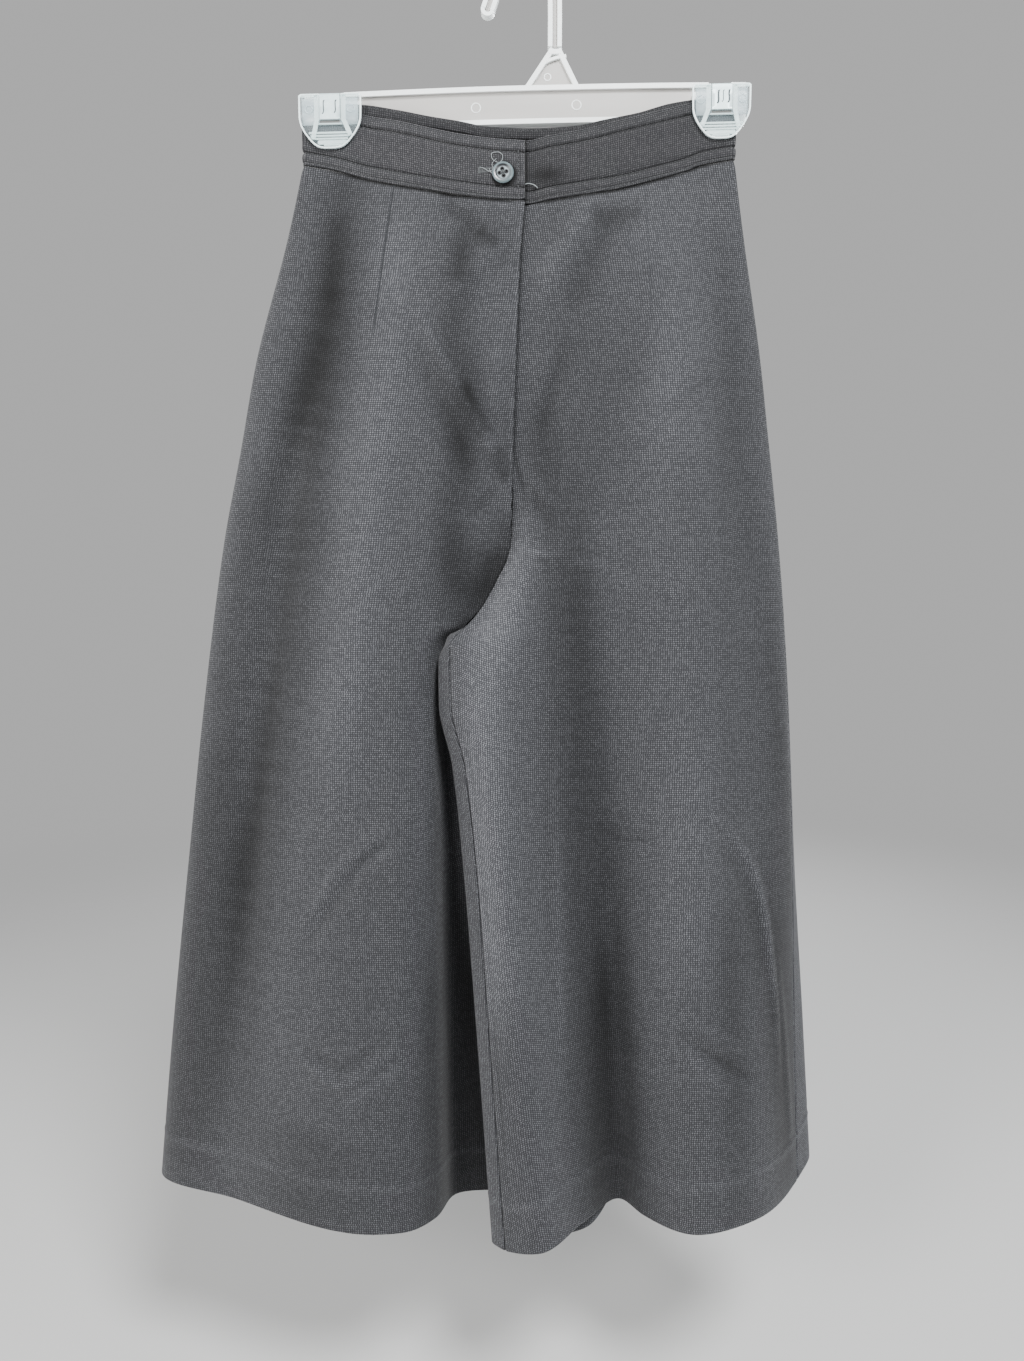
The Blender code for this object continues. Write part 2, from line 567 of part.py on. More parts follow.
def make_hook():
    """I section carried up the stem, over the arc and down to the flared tip."""
    radius = HOOK_INNER_R + HOOK_WIDTH / 2
    centre_z = -HOOK_INNER_R
    path = [(STEM_FOOT[0] - 0.1, STEM_FOOT[1]), (STEM_FOOT[0] - 0.05, -40.0)]
    path += [(radius * math.cos(a), centre_z + radius * math.sin(a)) for a in np.radians(np.linspace(-6, 172, 19))]
    path += [(-24.6, -24.5), (-26.6, -31.0), *(tip[:2] for tip in HOOK_TIP)]
    size = np.ones(len(path))
    size[-len(HOOK_TIP):] = [tip[2] for tip in HOOK_TIP]
    half, rim, web = HOOK_WIDTH / 2, HOOK_WIDTH / 2 - HOOK_FLANGE, WEB / 2
    deep = HOOK_DEPTH / 2
    section = [(-half, -deep), (-rim, -deep), (-rim, -web), (rim, -web), (rim, -deep), (half, -deep),
               (half, deep), (rim, deep), (rim, web), (-rim, web), (-rim, deep), (-half, deep)]
    path = np.array(path)
    along = np.gradient(path, axis=0)
    along /= np.linalg.norm(along, axis=1, keepdims=True)
    out = np.stack([along[:, 1], -along[:, 0]], 1)
    rings = np.array([[(p[0] + o[0] * s * k, t * min(1, k + 0.2), p[1] + o[1] * s * k) for s, t in section]
                      for p, o, k in zip(path, out, size)])
    count = len(section)
    points = rings.reshape(-1, 3)
    faces = [(i * count + j, i * count + (j + 1) % count, (i + 1) * count + (j + 1) % count, (i + 1) * count + j)
             for i in range(len(path) - 1) for j in range(count)]
    faces += [tuple(range(count)), tuple(reversed(range((len(path) - 1) * count, len(path) * count)))]
    mesh = bpy.data.meshes.new("hanger_hook")
    mesh.from_pydata((points * MM).tolist(), [], faces)
    built = bmesh.new()
    built.from_mesh(mesh)
    add_object("hanger_hook", mesh_of(built, "hanger_hook"), "clear plastic")


def make_jaw(side):
    """Front jaw: a plate with a raised rim, its inner face against the cloth."""
    inner = PINCH_Y - LAYER - BAND_CLOTH / 2 - 0.4
    plate = slab("clip_jaw_" + side, jaw_outline(side), inner, inner - JAW_THICK)
    jaw = add_object("clip_jaw_" + side, plate, "clear plastic")
    width = JAWS[side][2]
    pocket = jaw_outline(side, 1 - 2 * JAW_RIM / width)
    cutters = [
        loose("pocket_" + side, slab("pocket_" + side, pocket, inner - JAW_THICK + JAW_SINK, inner - JAW_THICK - 2)),
        spring_notch("ears_" + side, side, JAW_NOTCH),
    ]
    boolean(jaw, cutters, "DIFFERENCE")


def make_spring(side):
    """Steel strip bent over the notched bar, one leg on the front jaw and one behind the bar."""
    middle, top, width = JAWS[side]
    front = PINCH_Y - LAYER - BAND_CLOTH / 2 - 0.4 - JAW_THICK - 0.8
    back = FLANGE_DEPTH / 2 + 0.9
    over = top - 0.3
    turn = 1.6
    path = [(front, top - SPRING_LEG), (front, over - turn)]
    path += [(front + turn - turn * math.cos(a), over - turn + turn * math.sin(a)) for a in np.radians((30, 60, 90))]
    path += [(back - turn + turn * math.sin(a), over - turn + turn * math.cos(a)) for a in np.radians((0, 30, 60, 90))]
    path += [(back, top - SPRING_LEG)]
    path = np.array(path)
    along = np.gradient(path, axis=0)
    along /= np.linalg.norm(along, axis=1, keepdims=True)
    out = np.stack([-along[:, 1], along[:, 0]], 1) * SPRING_THICK / 2
    ends = (middle - SPRING_WIDTH / 2, middle + SPRING_WIDTH / 2)
    grid = np.array([[(x, y, z + JAW_TILT * (x - middle)) for y, z in path] for x in ends])
    lift = np.concatenate([np.zeros((len(path), 1)), out], 1)[None]
    points, faces = shell(grid + lift, grid - lift)
    add_object("clip_spring_" + side, mesh_from("clip_spring", points, faces), "spring steel")


def make_button():
    """Turned disc with a raised rim and a sunk middle, drilled with four holes."""
    sunk = BUTTON_THICK - 1.0
    profile = [(0.0, sunk), (BUTTON_R - 2 * BUTTON_RIM, sunk), (BUTTON_R - 1.4 * BUTTON_RIM, BUTTON_THICK - 0.2),
               (BUTTON_R - 0.8 * BUTTON_RIM, BUTTON_THICK), (BUTTON_R - 0.4, BUTTON_THICK - 0.7),
               (BUTTON_R, BUTTON_THICK - 1.6), (BUTTON_R - 0.6, 0.5), (BUTTON_R - 2.0, 0.0), (0.0, 0.0)]
    mesh = bpy.data.meshes.new("button")
    mesh.from_pydata([(r * MM, 0, h * MM) for r, h in profile], [(i, i + 1) for i in range(len(profile) - 1)], [])
    button = add_object("button", mesh, "button")
    turned = button.modifiers.new("turned", "SCREW")
    turned.axis, turned.angle, turned.screw_offset = "Z", math.tau, 0
    turned.steps = turned.render_steps = 28
    turned.use_merge_vertices, turned.merge_threshold = True, 0.00005
    turned.use_smooth_shade = True
    bpy.context.view_layer.update()
    solid = evaluated_mesh(button)
    button.modifiers.clear()
    built = bmesh.new()
    built.from_mesh(solid)
    bmesh.ops.remove_doubles(built, verts=built.verts, dist=0.00002)
    button.data = mesh_of(built, "button")
    drills = []
    for sx in (-1, 1):
        for sy in (-1, 1):
            drill = bmesh.new()
            bmesh.ops.create_cone(drill, cap_ends=True, segments=10, radius1=BUTTON_HOLE_R * MM,
                                  radius2=BUTTON_HOLE_R * MM, depth=3 * BUTTON_THICK * MM)
            bmesh.ops.translate(drill, vec=(sx * BUTTON_HOLE_OFF * MM, sy * BUTTON_HOLE_OFF * MM, 0), verts=drill.verts)
            bmesh.ops.transform(drill, matrix=Matrix.Rotation(BUTTON_TURN, 4, "Z"), verts=drill.verts)
            drills.append(loose("drill", mesh_of(drill, "drill")))
    boolean(button, drills, "DIFFERENCE")
    x, z = BUTTON_AT
    top, foot = (e for e in band_edges("front_right", x))
    part = (z - foot[2]) / (top[2] - foot[2])
    y = foot[1] + part * (top[1] - foot[1]) - BAND_CLOTH / 2 - 0.8
    place = Matrix.Translation(Vector((x, y, z)) * MM) @ Matrix.Rotation(math.radians(90) - BUTTON_LEAN, 4, "X")
    button.data.transform(place)
    button.data.materials.clear()
    button.data.materials.append(finish("button"))


for old in list(bpy.data.objects):
    bpy.data.objects.remove(old)
collection = bpy.data.collections.new("culottes_on_hanger")
cutters = bpy.data.collections.new("cutters")
for group in (collection, cutters):
    bpy.context.scene.collection.children.link(group)

for panel_name in PANELS:
    make_panel(panel_name)
make_waistband()
make_zip()
make_button()
make_hanger_frame()
make_hook()
for jaw_side in JAWS:
    make_jaw(jaw_side)
    make_spring(jaw_side)
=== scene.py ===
"""Looks of the high-waisted culottes on their clip hanger.

Tables are in millimetres and meshes in metres. +X is the wearer's left, -Y the front, +Z up, and the
origin is where the hanger's hook rests on a rail. A cloth panel is a thin shell over a middle surface,
which is lofted through named fold lines that run from the waist seam down to the hem. Part of the
folds' light and shade is painted on the cloth, by the tone attribute of its points.
"""

import math

import bpy
import numpy as np
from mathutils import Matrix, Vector


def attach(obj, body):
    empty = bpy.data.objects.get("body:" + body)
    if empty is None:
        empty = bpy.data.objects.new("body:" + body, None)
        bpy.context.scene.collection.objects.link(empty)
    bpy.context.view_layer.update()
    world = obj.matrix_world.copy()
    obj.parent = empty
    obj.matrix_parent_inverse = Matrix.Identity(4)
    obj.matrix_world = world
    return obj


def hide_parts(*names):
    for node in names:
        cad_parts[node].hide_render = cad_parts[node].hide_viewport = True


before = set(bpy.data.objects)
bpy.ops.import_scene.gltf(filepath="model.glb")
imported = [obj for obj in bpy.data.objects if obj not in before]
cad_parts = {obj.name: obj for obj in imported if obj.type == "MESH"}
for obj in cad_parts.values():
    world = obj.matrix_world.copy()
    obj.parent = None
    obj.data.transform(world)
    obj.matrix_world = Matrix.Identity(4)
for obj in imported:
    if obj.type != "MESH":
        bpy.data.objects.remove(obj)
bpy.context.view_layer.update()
MM = 0.001

# Cloth
CLOTH = 1.6            # wall of the double knit, pressed
COURSE = 1.55 * MM     # height of a row of the knit
WALE = 1.75 * MM       # width of a stitch
CELL = 3.0             # mesh size of the cloth, across
ROW = 2.5              # and down
TOP_ROWS = (0.0, 0.7, 1.4, 2.1, 2.9, 3.9, 5.2)   # close rows below the waist seam
EDGE_COLUMNS = (0.0, 0.35, 0.8, 1.4, 2.6)    # distances from a seam at which a panel has columns
TUCK = 1.3             # how deep a sewn edge turns in
TUCK_REACH = 1.6
HEM_DEPTH = 39.0       # the hem is turned up this far
HEM_PLY = 1.3          # the turned-up cloth, pressed
HEM_ROUND = 1.6
HEM_RIDGE = 0.40       # how far the fold of the turned-up cloth shows as a ridge
HEM_DIP = 0.22         # and as a dip above it
FACING = 30.0          # width of the fly's facing behind the lap
FACING_PLY = 0.7
SEAM_SINK = 0.7        # how far the waist seam lies below the band's face
SEAM_SINK_REACH = 7.0
CROTCH = (-46.0, -30.0, -505.0)
CROTCH_EASE = 12.0
CROTCH_SHARE = 0.41
WAIST_TO_HEM = 820.0
GRAIN_START_Z = -215.0  # height at which the knit's rows are level

# Waistband
PINCH_Y = -7.5         # plane in which the clips press the band's two layers together
LAYER = 1.6
FRONT_BOW_TOP = 8.0
FRONT_BOW_BOTTOM = 11.0
BACK_BOW_BOTTOM = 2.0
BOW_HALF = 127.0
UNDERLAP = 28.0
LAP_STEP = 2.9
UNDER_RAMP = (6.0, 18.0)
BAND_HALF = 1.35       # half the band's thickness
BAND_PROUD = 0.5       # how far its front face stands over the panels
BAND_FACE = BAND_HALF + BAND_PROUD * 0.5
STITCH_EDGE = 2.1      # rows of stitching, from the band's nearer edge
STITCH_FIELD = 9.4
STITCH_PITCH = 3.3
STITCH_LENGTH = 2.7
STITCH_R = 0.30
# Distances from an edge at which the band has lines of points: by the edge, beside a row, in the field
BAND_LINES_EDGE = (0.0, 0.12, 0.4, 0.9, 1.4, 1.8, 2.1, 2.4, 2.8, 3.6, 4.8, 6.2)
BAND_LINES_ROW = (-2.0, -1.4, -1.0, -0.65, -0.3, 0.0, 0.3, 0.65, 1.0, 1.5, 2.3)
BAND_LINES_FIELD = (13.4, 15.8, 18.8, 22.2)
STITCH_VALLEYS = ((STITCH_EDGE, 0.40, 0.7), (STITCH_FIELD, 1.45, 0.95))   # place, depth, half width
# Painted light on the band's rolls between the rows and at its edges, and painted shade at its very edge
BAND_LIGHT_AND_SHADE = ((6.0, 2.0, 0.14), (0.9, 0.7, 0.24), (0, 0.35, -0.7))   # place, half width, share of light
EDGE_ROLL = 0.62       # height of the roll between the rows of stitching
FIELD_ROLL = 0.55      # and of the band's field
LAP_ROW = 5.2          # stitching down the end of the lap
LAP_SHADE = (17.1, -165.5, 13.0, 6.5)   # painted shade beside the lap: x, z, half width, half height
FLY_END_Z = -402.0
FLY_UNDER = 9.0
FLY_STEP = 2.6
FLY_SOFTEN = 30.0

# Fastenings
BUTTON = (-16.7, -164.4)      # x, z of its middle
BUTTON_FACE_Y = -24.3         # front of its rim
BUTTON_HOLE = 2.55            # from the middle to each hole
BUTTON_TURN = 102.0           # angle of the first hole
BUTTONHOLE = (-34.0, -14.0, -161.8)   # x of its ends, z
SATIN_PITCH = 0.62            # its close stitches
SATIN_OFF = 1.15              # from the slit to each row of them
SATIN_LENGTH = 2.0
SATIN_R = 0.36
ZIP_TAPE = 24.0
ZIP_BACK = 5.4
ZIP_THICK = 0.9
TAPE_LINES = (-0.60, -0.3, -0.05, 0.05, 0.2, 0.36)   # lines of points, as shares of the tape's width
TOOTH_PITCH = 1.9
TOOTH_LENGTH = 2.8
TOOTH_R = 0.6

# Hanger
HOOK_INNER_R = 17.5
HOOK_WIDTH = 10.5
HOOK_DEPTH = 7.0
HOOK_FLANGE = 3.4
WEB = 2.2
STEM_FOOT = (22.9, -63.7)
STEM_TOP_Z = -40.0
HOOK_TAIL = (-26.6, -31.0)      # where its straight end begins
HOOK_END = (-28.4, -36.2)       # middle of its rounded end
I_WEB = (0, 0, 1, 1, 0, 0, 0, 0, 1, 1, 0, 0)     # which corners of an I section lie on its web
BAR_TOP = ((-172, -99.3), (-125, -96.9), (0, -92.3), (127, -90.2), (172, -90.0))
BAR_HEIGHT = 28.0
BAR_END = (-168.0, 169.0)
FLANGE_DEPTH = 7.0
FLANGE = 3.6
GUSSET = ((0.5, -92.0), (18.5, -65.4), (27.6, -65.4), (41.0, -91.0))
PIN_MARKS = ((-37.6, -107.8, 3.5), (39.7, -105.6, 3.5), (17.3, -85.1, 2.5))   # x, z, radius
GUSSET_RIB = ((11.0, -79.4), (14.6, -75.6), (19.0, -73.2), (24.2, -71.6), (31.4, -70.2))
JAWS = {"right": (-147.7, -103.0, 47.5), "left": (148.7, -95.7, 44.4)}   # x of middle, z of top, width
JAW_HEIGHT = 39.8
JAW_THICK = 2.8
JAW_BACK = PINCH_Y - LAYER - 1.7     # back of the front jaws, clear of the band
JAW_RIM = 1.2
JAW_SINK = 1.2
JAW_TILT = 0.0245
# A jaw's outline: share of its height, share of its half width
JAW_SHAPE = ((0.0, 0.93), (0.03, 1.0), (0.42, 0.995), (0.55, 0.955), (0.64, 0.89), (0.73, 0.80), (0.82, 0.68),
             (0.89, 0.58), (0.94, 0.48), (0.972, 0.385), (0.992, 0.28), (1.0, 0.18))
BACK_JAW = (-4.3, -0.9)
BACK_JAW_SHRINK = 0.93
SPRING_WIDTH = 15.4
SPRING_THICK = 0.8
SPRING_LEG = 19.3
NOTCH_HALF = SPRING_WIDTH / 2 + 0.6   # half the width of the notches that a spring lies in
BAR_NOTCH = 5.6
JAW_NOTCH = 3.2
BLOCK_FOOT = -22.6     # the jaw is solid down to here
JAW_RIB_FEET = {       # x, z of the inner rib's foot and of the outer one's
    "right": ((15.4, -30.5), (12.9, -33.0)), "left": ((14.7, -30.5), (13.2, -32.0)),
}
RIB_X = 9.9            # from the middle of a jaw to each of its ribs
BLOCK_PROUD = 0.45     # how far the solid part stands over the jaw's floor
PAD_SHIFT = {"right": 1.9, "left": 0.4}
THUMB_PADS = ((-35.5, 11.4, 1.6, 0.1), (-37.6, 6.8, 0.8, 0.02))   # z, half width, half height, how proud
GRIPS = ((16.2, -28.4), (15.0, -30.6), (13.6, -32.7))      # half length and height of each grip ridge
JAW_MARK = (15.8, -11.0, 2.8)      # x, z, radius of the moulding mark on either half
# Dark bars that paint the shadow in the gaps round the spring
SPRING_SHADOWS = (        # dark gaps round the spring: x, z of both ends, width
    (-7.6, -20.4, 7.6, -20.4, 2.0), (8.2, -4.0, 8.2, -19.4, 0.8), (-8.1, -4.0, -8.1, -19.4, 0.5))
SLOT_TOP = -5.4        # top of the spring's slots, from the top of the jaw
SPRING_SLOTS = {       # x, length and half width of each slot
    "right": ((-4.6, 10.0, 0.42), (4.4, 9.4, 0.42)),
    "left": ((-2.8, 9.6, 0.62), (0.8, 8.6, 0.32), (5.2, 9.2, 0.62)),
}
# A slot's bend: share of the way down it, distance beside its line
SLOT_BEND = ((0.0, 0.9), (0.06, 0.15), (0.25, -0.1), (0.5, 0.0), (0.75, 0.1), (0.92, -0.3), (1.0, -1.1))

# Stage, in metres
FLOOR_Z = -1.16
FLOOR_HALF = 9.0
FLOOR_COLOUR = (0.46, 0.46, 0.455)
BACKDROP_COLOUR = (0.50, 0.50, 0.50)
AMBIENT_COLOUR = (0.80, 0.82, 0.85)
AMBIENT_STRENGTH = 0.08
CAMERA_PLACE = (-0.0099, -0.80, -0.4882)
CAMERA_DOWN = 4.33     # degrees
CAMERA_LENS = 26.45
LIGHT_AIM = (0, 0, -0.5)
LIGHTS = {             # place, width, power, colour
    "left side": ((-2.20, -0.60, -0.80), 0.9, 72, (1.0, 0.99, 0.97)),
    "right side": ((2.20, -0.60, -0.72), 0.9, 64, (0.97, 0.98, 1.0)),
    "front left": ((-1.30, -1.75, 0.25), 0.8, 66, (1.0, 0.99, 0.98)),
    "behind": ((0.70, 2.30, 0.30), 1.0, 60, (0.98, 0.99, 1.0)),
    "front high": ((0.60, -1.45, 1.25), 0.8, 120, (0.98, 0.99, 1.0)),
}

# Finishes
CLEAR_PLASTICS = {     # alpha where thin and where thick, colour of the web or thin part, colour of the rest
    "jaw": (0.10, 0.17, (0.50, 0.65, 0.70), (0.64, 0.76, 0.79)),
    "block": (0.40, 0.54, (0.50, 0.625, 0.67), (0.67, 0.77, 0.80)),
    "ribs": (0.46, 0.60, (0.70, 0.86, 0.86), (0.80, 0.92, 0.92)),
    "rim": (0.80, 0.92, (0.80, 0.92, 0.92), (0.88, 0.96, 0.96)),
    # marks: a darker copy of the clear plastic, which paints the shade round the moulding marks
    "marks": (0.86, 0.94, (0.40, 0.50, 0.54), (0.50, 0.60, 0.63)),
}

# The waistband's edges: x, z of its top, z of its foot
BAND_FRONT_RIGHT = (
    (-168, -106.5, -154.0), (-145, -111.0, -158.0), (-120, -117.5, -164.7), (-97, -122.0, -170.0),
    (-73, -128.0, -174.9), (-50, -133.3, -179.2), (-21, -137.5, -183.0), (0, -139.0, -184.0))
BAND_FRONT_LEFT = (
    (-30, -139.5, -187.5), (0, -138.0, -186.5), (25, -134.0, -182.5), (49, -129.0, -178.3),
    (73, -122.3, -173.6), (98, -115.5, -166.2), (122, -109.0, -158.8), (134, -106.3, -154.2),
    (159, -102.0, -149.7))
BAND_BACK = (
    (-168, -106.5, -154.0), (-125, -107.8, -156.0), (-98, -111.5, -159.5), (-74, -116.0, -164.0),
    (-50, -119.8, -167.8), (-27, -124.0, -171.5), (4, -125.0, -172.5), (38, -123.2, -171.0),
    (62, -118.4, -166.5), (86, -113.7, -161.5), (110, -107.1, -155.0), (128, -104.2, -152.0),
    (159, -102.0, -149.7))

# Fold lines: name, x on the waist seam, then rows of z, x, y down to the hem
SIDE_RIGHT = ("side", -167, (
    (-215, -183.5, -5), (-300, -208, -4), (-370, -222.5, -3), (-438, -236.5, -2), (-565, -255.5, -1),
    (-690, -271, 0), (-830, -287, 0), (-957, -300, 0)))
SIDE_LEFT = ("side", 158, (
    (-215, 169, -5), (-300, 183, -4), (-370, 192, -3), (-438, 200, -3), (-505, 206, -3),
    (-565, 210, -3), (-690, 216, -4), (-830, 220, -6), (-962, 225.5, -7)))
FRONT_RISE = (
    (-215, -3, -23), (-300, -7, -28), (-402, -10, -30), (-438, -10.5, -31), (-452, -13.5, -31.5),
    (-466, -20, -32), (-478, -26, -32), (-494, -36, -32))
BACK_RISE = (
    (-215, -3, 9), (-300, -7, 15), (-370, -9, 17), (-438, -13, 13), (-478, -24, 0),
    (-494, -35, -12))
INSEAM_RIGHT = (
    (-511, -38.5, -20), (-520, -38, -14), (-565, -33, -4), (-690, -26, 2), (-830, -20, 5),
    (-979, -13, 8))
INSEAM_LEFT = (
    (-520, -57, -42), (-565, -56, -43.5), (-610, -46, -45), (-690, -37, -49), (-830, -26.5, -56),
    (-985, -15, -64))

FRONT_RIGHT = (
    SIDE_RIGHT,
    ("outer", -128, (
        (-215, -138, -19), (-300, -157, -24), (-438, -181, -27), (-565, -198, -28), (-690, -209, -29),
        (-830, -221, -30), (-964, -231, -31))),
    ("ridge", -72, (
        (-215, -76, -25), (-300, -88, -35), (-438, -107, -43), (-505, -116, -45), (-690, -118, -51),
        (-830, -115, -55), (-976, -112, -58.5))),
    ("brow", -50, (
        (-215, -54, -26), (-300, -64, -35), (-438, -80, -43), (-505, -90, -45), (-565, -93, -45),
        (-690, -90.5, -49), (-978, -90, -51.5))),
    ("roll", -34, (
        (-215, -38, -26), (-300, -46, -33), (-438, -60, -40), (-505, -72, -40), (-520, -73, -38),
        (-565, -74, -31), (-690, -73.5, -32), (-979, -71.5, -33))),
    ("hollow", -18, (
        (-215, -22, -25), (-300, -30, -31), (-438, -39, -35), (-505, -56, -35), (-511, -58.5, -30),
        (-520, -62, -25),
        (-565, -62, -12), (-690, -60, -8), (-830, -59, -5), (-979, -57, 0))),
    ("centre", 0, FRONT_RISE, INSEAM_RIGHT))
FRONT_LEFT = (
    SIDE_LEFT,
    ("outer", 128, (
        (-215, 135, -18), (-300, 147, -23), (-438, 163, -26), (-565, 168, -31), (-690, 171, -37),
        (-830, 175, -45), (-968, 178, -54))),
    ("ridge", 99, (
        (-215, 107, -22), (-300, 118, -33), (-438, 130, -41), (-505, 132, -43), (-690, 128, -51),
        (-830, 128, -56), (-973, 128, -63))),
    ("step", 78, (
        (-215, 84, -25), (-300, 93, -33), (-438, 102, -40), (-505, 99, -41), (-565, 95, -41),
        (-690, 92.5, -40), (-830, 94, -39), (-975, 96, -36))),
    ("gully", 59, (
        (-215, 64, -26), (-300, 73, -32), (-438, 76, -36), (-505, 70, -35), (-565, 65, -33),
        (-690, 65, -28), (-830, 72, -20), (-974, 79, -14.5))),
    ("slope", 38, (
        (-215, 41, -26), (-300, 44, -30), (-438, 40, -34), (-505, 26, -37), (-565, 17, -41),
        (-690, 17, -42), (-830, 28, -43), (-976, 46, -44))),
    ("brow", 17, (
        (-215, 17, -25), (-300, 16, -28), (-438, 9, -33), (-505, -14, -41), (-520, -28, -46),
        (-565, -32, -50), (-690, -23, -56), (-830, -9, -63), (-983, 12, -71))),
    ("centre", 0, FRONT_RISE, INSEAM_LEFT))
BACK_RIGHT = (
    SIDE_RIGHT,
    ("bulge", -165, (
        (-215, -182, 1), (-300, -207, 4), (-438, -236, 7), (-565, -255, 8), (-690, -270.5, 9),
        (-957, -299, 9))),
    ("hip", -124, (
        (-215, -134, 8), (-300, -153, 15), (-438, -176, 19), (-565, -194, 19), (-690, -206, 18),
        (-960, -230, 17))),
    ("mid", -79, (
        (-215, -85, 9), (-300, -98, 18), (-438, -115, 21), (-565, -130, 20), (-690, -138, 20),
        (-830, -148, 22), (-965, -155, 24))),
    ("inner", -32, (
        (-215, -35, 9), (-300, -41, 17), (-438, -53, 19), (-505, -64, 15), (-565, -68, 18),
        (-690, -72, 19), (-830, -76, 18), (-975, -78, 20))),
    ("centre", 0, BACK_RISE, INSEAM_RIGHT))
BACK_LEFT = (
    SIDE_LEFT,
    ("bulge", 156, (
        (-215, 168, 0), (-300, 183, 3), (-370, 193, 4), (-438, 201, 5), (-505, 208, 6),
        (-565, 213, 7), (-690, 220.5, 8), (-830, 231, 8), (-951, 239.5, 8))),
    ("hip", 118, (
        (-215, 126, 8), (-300, 137, 15), (-438, 150, 18), (-565, 160, 17), (-690, 167, 16),
        (-830, 175, 16), (-958, 185, 15))),
    ("mid", 75, (
        (-215, 80, 9), (-300, 86, 17), (-438, 94, 20), (-505, 99, 18), (-690, 110, 16),
        (-965, 134, 15))),
    ("tuck", 44, (
        (-215, 47, 9), (-300, 50, 17), (-438, 54, 20), (-505, 58, 15), (-565, 62, 10),
        (-690, 70, 9), (-830, 76, 9), (-975, 82, 10))),
    ("rear", 18, (
        (-215, 18, 9), (-300, 17, 16), (-438, 12, 18), (-470, 10, 12), (-490, 8, -6), (-505, 7, -20),
        (-520, 4, -25), (-565, 5, -27), (-690, 18, -29), (-830, 34, -29), (-988, 52, -27))),
    ("edge", 8, (
        (-215, 5, 9), (-300, 1, 15), (-438, -5, 15), (-478, -16, 3), (-494, -28, -14), (-505, -38, -27.5),
        (-508, -50, -31), (-513, -57, -34), (-520, -60.5, -36), (-532, -64, -37), (-565, -63.5, -38),
        (-610, -54, -39), (-690, -45.3, -43),
        (-830, -34, -50), (-985, -22.5, -58))),
    ("centre", 0, BACK_RISE, INSEAM_LEFT))

PANELS = {
    "front_right": FRONT_RIGHT, "front_left": FRONT_LEFT,
    "back_right": BACK_RIGHT, "back_left": BACK_LEFT,
}
# Number of the fold line that runs along the grain
GRAIN_LINE = {"front_right": 2, "front_left": 2, "back_right": 3, "back_left": 3}
OTHER_HALF = {    # the panel across the centre seam, above the crotch
    "front_right": "front_left", "front_left": "front_right",
    "back_right": "back_left", "back_left": "back_right",
}
SAME_LEG = {      # the panel across the side seam and the inseam
    "front_right": "back_right", "front_left": "back_left",
    "back_right": "front_right", "back_left": "front_left",
}
OUTWARD = {"front_right": -1, "front_left": 1, "back_right": 1, "back_left": -1}

# Soft folds of the front: points x, z down the fold, half width (or to the right and to the left), height
FRONT_FOLDS = (
    (((-124, -165), (-148, -250), (-170, -331), (-188, -470), (-210, -612), (-226, -764),
      (-240, -900)), 17.0, -4.5),
    (((-88, -175), (-96, -250), (-104, -310), (-118, -400), (-126, -490), (-142, -600),
      (-150, -720)), 19.0, 4.0),
    (((92, -170), (97, -250), (104, -330), (112, -420)), 20.0, 2.2),
    (((128, -560), (126, -640), (124, -730), (128, -820)), 22.0, 2.0),
    (((-10, -398), (-10.5, -438), (-20, -466), (-36, -494), (-50, -508)), (22.0, 5.0), -4.0),
    (((2, -420), (-2, -450), (-8, -480), (-16, -520), (-24, -560)), 12.0, 2.5),
    (((-86, -252), (-71, -288), (-55, -319), (-38, -350), (-18, -384), (-2, -408)), 3.4, 2.2),
    (((-95, -275), (-76, -312), (-60, -345), (-44, -378), (-28, -404)), (12.0, 7.0), -2.6),
    (((-70, -178), (-56, -190), (-42, -201), (-26, -214)), 8.5, -3.6),
    (((-10, -210), (-28, -226), (-46, -246), (-66, -272)), 7.0, 1.9),
    (((58, -172), (42, -198), (27, -226), (10, -266)), 8.5, 2.8),
    (((76, -178), (60, -212), (44, -246), (30, -284)), 10.0, -2.2),
    (((34, -280), (26, -310), (17, -340), (10, -372)), 8.0, -2.4),
    (((-20, -286), (-22, -318), (-20, -350)), 8.0, 1.8),
    (((-6, -446), (11, -448), (28, -450), (46, -455), (62, -462), (80, -475)), 2.6, 0.9),
    (((2, -388), (12, -402), (26, -420)), 4.0, 1.6),
    (((4, -404), (12, -420), (22, -434)), 4.0, -1.5),
    (((-16, -398), (-30, -410), (-44, -428)), 5.0, -1.6),
    (((-80, -650), (-99, -666), (-121, -684), (-142, -712), (-165, -745), (-176, -766)), 5.0, -2.6),
    (((-90, -652), (-115, -669), (-139, -687), (-156, -712), (-179, -745)), (5.0, 4.0), 1.5),
    (((-190, -826), (-166, -845), (-143, -859), (-120, -845), (-90, -819)), 3.2, 1.6),
    (((-176, -824), (-160, -836), (-143, -846), (-126, -836), (-104, -818)), 4.2, -1.5),
    (((106, -628), (125, -640), (148, -657), (168, -677), (180, -702), (188, -733), (193, -764), (199, -816),
      (204, -890)), 3.0, 3.2),
    (((108, -642), (133, -654), (150, -671), (165, -692), (174, -717), (181, -752), (184, -800)), 7.5, -1.3),
    (((112, -815), (139, -832), (159, -846), (190, -866)), 4.0, -2.6),
    (((128, -806), (150, -822), (172, -836)), 4.5, 1.5),
    (((196, -730), (203, -790), (210, -850), (220, -960)), 2.6, 1.6),
    (((20, -585), (24, -685), (26, -764), (29, -880)), 4.0, 1.6),
    (((58, -664), (80, -672), (104, -668)), 3.6, -1.4),
    (((96, -352), (118, -338), (142, -316)), 5.0, -1.3),
)
